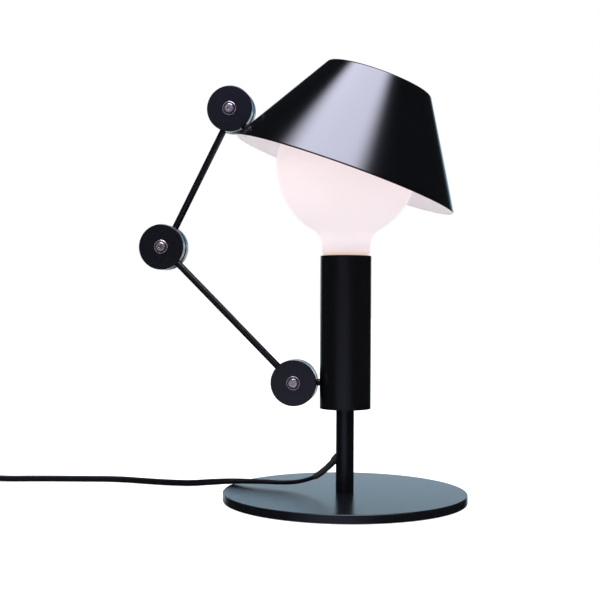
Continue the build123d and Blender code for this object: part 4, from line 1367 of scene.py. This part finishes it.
@dataclass
class InlineSwitch:
    """The rocker switch in the cord: two shells and a rocker on its pins."""

    middle: Pair = (-407.0, 42.0)
    length: float = 62.0
    width: float = 25.0
    height: float = 16.5
    split: float = 6.0
    corner: float = 8.0
    edge: float = 1.5
    slot: Pair = (20.8, 11.6)
    rocker: Pair = (19.6, 11.0)
    rocker_low: float = -2.2
    rocker_high: float = 3.6
    dish: float = 1.3
    pin_radius: float = 1.0
    pin_reach: float = 1.4
    pin_edge: float = 0.3
    pivot: float = 13.1
    tilt: float = 7.0

    def brick(self, name: str, size: Pair, bottom: float, top: float) -> Piece:
        """A block about the switch's middle."""
        x, y = self.middle
        half_x, half_y = size[0] / 2, size[1] / 2
        return block(name, (x - half_x, y - half_y, bottom), (x + half_x, y + half_y, top))

    def shell(self, name: str, bottom: float, top: float, level: float) -> Piece:
        """One shell, rounded at its corners and round its outer face's level."""
        shell = self.brick(name, (self.length, self.width), bottom, top)
        round_edges(shell, lambda a, b: abs(a.z - b.z) > 0.001, self.corner, 10)
        round_edges(shell, lambda a, b: max(abs(a.z - level * MM), abs(b.z - level * MM)) < 1e-6,
                    self.edge, 4)
        return shell

    def build(self) -> None:
        """Make the base, the cover and the rocker."""
        base = self.shell("switch_lower_shell", 0.0, self.split, 0.0)
        cover = self.shell("switch_upper_shell", self.split, self.height, self.height)
        cut(cover, self.brick("slot", self.slot, self.split + 2.0, self.height + 3.0))
        for shell, node in ((base, "switch_base"), (cover, "switch_cover")):
            soften(shell, 0.25, 2, 40)
            complete(shell, Body.STAND, "switch_black", node)
        self.build_rocker()

    def build_rocker(self) -> None:
        """Make the rocker: a dished cap that leans to one side, on two short pins."""
        half, wide = self.rocker[0] / 2, self.rocker[1] / 2
        cap = block("rocker_cap", (-half, -wide, self.rocker_low), (half, wide, self.rocker_high))
        with editing(cap):
            bpy.ops.mesh.select_all(action="SELECT")
            bpy.ops.mesh.subdivide(number_cuts=7)
        for vertex in cap.data.vertices:
            rise = self.dish * abs(vertex.co.x / MM) / half
            if vertex.co.z > (self.rocker_high - 0.1) * MM:
                vertex.co.z = (self.rocker_high - self.dish + rise) * MM
            elif vertex.co.z < (self.rocker_low + 0.1) * MM:
                vertex.co.z = (self.rocker_low + rise) * MM
        soften(cap, 0.4, 3, 40)
        thin, reach = self.pin_radius - self.pin_edge, wide + self.pin_reach
        pins = lathe("rocker_pins", [
            (thin, -reach), (self.pin_radius, self.pin_edge - reach),
            (self.pin_radius, reach - self.pin_edge), (thin, reach),
        ], 32)
        settle(pins, placed(0.0, 0.0, 0.0, 90, "X"))
        soften(pins, angle=40)
        take(cap, pins)
        bpy.ops.object.join()
        cap.name = "rocker_cap_on_pins"
        settle(cap, placed(*self.middle, self.pivot, -self.tilt, "Y"))
        complete(cap, Body.ROCKER, "rocker_black", "switch_rocker")


@dataclass
class Plug:
    """The flat moulded plug with two round pins."""

    x: float = -510.0
    face_y: float = -60.0
    length: float = 36.0
    width: float = 35.3
    waist: float = 0.62
    thickness: float = 13.7
    neck: Pair = (11.0, 9.0)
    shoulder: float = 14.0
    pin_spacing: float = 18.6
    pin_length: float = 19.0
    pin_radius: float = 2.0
    pin_round: float = 0.8
    sleeve: float = 10.0

    def build(self) -> list[Piece]:
        """Make the moulding and the pins, and return both."""
        neck_x, neck_z = self.neck
        body = block("plug_moulding", (-neck_x / 2, -self.shoulder, -neck_z / 2),
                     (neck_x / 2, 0.0, neck_z / 2))
        for face in body.data.polygons:
            face.select = face.normal.y < -0.9
        with editing(body, "FACE"):
            bpy.ops.transform.resize(
                value=(self.width * self.waist / neck_x, 1.0, self.thickness / neck_z),
                center_override=(0.0, -self.shoulder * MM, 0.0))
            bpy.ops.mesh.extrude_region_move(TRANSFORM_OT_translate={
                "value": (0.0, -(self.length - self.shoulder) * MM, 0.0)})
            bpy.ops.transform.resize(value=(1 / self.waist, 1.0, 1.0),
                                     center_override=(0.0, -self.length * MM, 0.0))
        round_edges(body, lambda a, b: abs(a.y - b.y) > 0.005, 3.2, 5)
        soften(body, 0.5, 2, 18)
        settle(body, placed(self.x, self.face_y, self.thickness / 2))
        complete(body, Body.STAND, "plug_black", "plug_body")
        return [body, self.build_pins()]

    def build_pins(self) -> Piece:
        """Make the two pins, black where their sleeves are."""
        root, thin = self.face_y - self.length, self.pin_radius - 0.12
        pins = []
        for side in (1, -1):
            pin = lathe("plug_sleeved_pins", [
                (1.5, -6.0), (1.5, 0.0), (self.pin_radius, 0.0), (self.pin_radius, self.sleeve),
                (thin, self.sleeve + 0.05), (thin, self.pin_length - self.pin_round),
                *arc((thin - self.pin_round, self.pin_length - self.pin_round),
                     self.pin_round, 20, 90, 4),
            ], 40)
            settle(pin, placed(self.x + side * self.pin_spacing / 2, root, self.thickness / 2,
                               90, "X"))
            soften(pin, angle=40)
            pins.append(pin)
        take(*pins)
        bpy.ops.object.join()
        limit = (root - self.sleeve - 0.02) * MM
        paint_twice(pins[0], NICKEL, MOULDED_BLACK, lambda face: face.center.y > limit)
        return complete(pins[0], Body.STAND, "pin_nickel", "plug_pins")


# ---- all together


@dataclass
class TableLamp:
    """The whole lamp: where its joints are and the order its pieces are made in."""

    lower: Pair = (-44.35, 104.2)
    elbow: Pair = (-164.381, 224.231)
    upper: Pair = (-102.797, 346.945)
    front_y: float = -11.9
    nut_size: Point = (10.0, 6.1, 4.0)
    nut_from: float = 26.4

    def joints(self) -> list[FrictionJoint]:
        """The three friction joints."""
        return [
            FrictionJoint("lower_joint", self.lower, Body.LOWER_ARM, Body.STAND),
            FrictionJoint("elbow", self.elbow, Body.LOWER_ARM, Body.UPPER_ARM),
            FrictionJoint("shade_joint", self.upper, Body.SHADE, Body.UPPER_ARM),
        ]

    def rods(self) -> list[Rod]:
        """The two arms and the two stubs, the shade's own stub last."""
        return [
            Rod("lower_arm_rod", "lower_arm", Body.LOWER_ARM, self.lower, self.front_y, 135.0,
                158.35),
            Rod("upper_arm_rod", "upper_arm", Body.UPPER_ARM, self.elbow, 0.0, 63.35, 125.9),
            Rod("housing_stub_rod", "housing_stub", Body.STAND, self.lower, 0.0, 0.0, 29.2),
            Rod("shade_stub_rod", "shade_stub", Body.SHADE, self.upper, self.front_y, -50.669,
                31.3, white_from=25.9),
        ]

    def build(self) -> None:
        """Make every piece in order."""
        cord = MainsCord()
        cord.build_lead()
        cord.build_far([*Plug().build(), CoilTie().build()])
        rods = self.rods()
        for part in (Foot(), Housing(), Bulb(), *self.joints(), *rods):
            part.build()
        nut = hex_nut("shade_stub_hex_nut", *self.nut_size)
        settle(nut, rods[-1].along() @ placed(0.0, 0.0, self.nut_from))
        complete(nut, Body.SHADE, "shade_paint", "shade_stub_nut", finish=INSIDE_WHITE)
        Shade().build()
        InlineSwitch().build()


def dress_nodes(nodes: dict[str, Piece], record: dict) -> None:
    """Give each CAD node that is carried over its slot's finish.

    Args:
        nodes: The CAD nodes by name.
        record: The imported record, whose subparts name each node's material slot.
    """
    slot_of = {row["node"]: row["material_slot"] for row in record["subparts"]}
    for name, node in nodes.items():
        finish = SLOT_FINISHES.get(slot_of.get(name, ""), STEEL)
        if not node.material_slots:
            node.data.materials.append(paint(finish))
        for slot in node.material_slots:
            slot.material = paint(finish)
    LOG.info("%d CAD nodes dressed, %d with a slot of their own", len(nodes), len(slot_of))


def main() -> None:
    """Build the camera, the lamp and the studio."""
    logging.basicConfig(level=logging.INFO, format="%(name)s: %(message)s")
    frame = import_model()
    Camera().build()
    dress_nodes(frame["nodes"], frame["record"])
    TableLamp().build()
    Studio().build()
    bpy.ops.object.select_all(action="DESELECT")


if __name__ == "__main__":
    main()
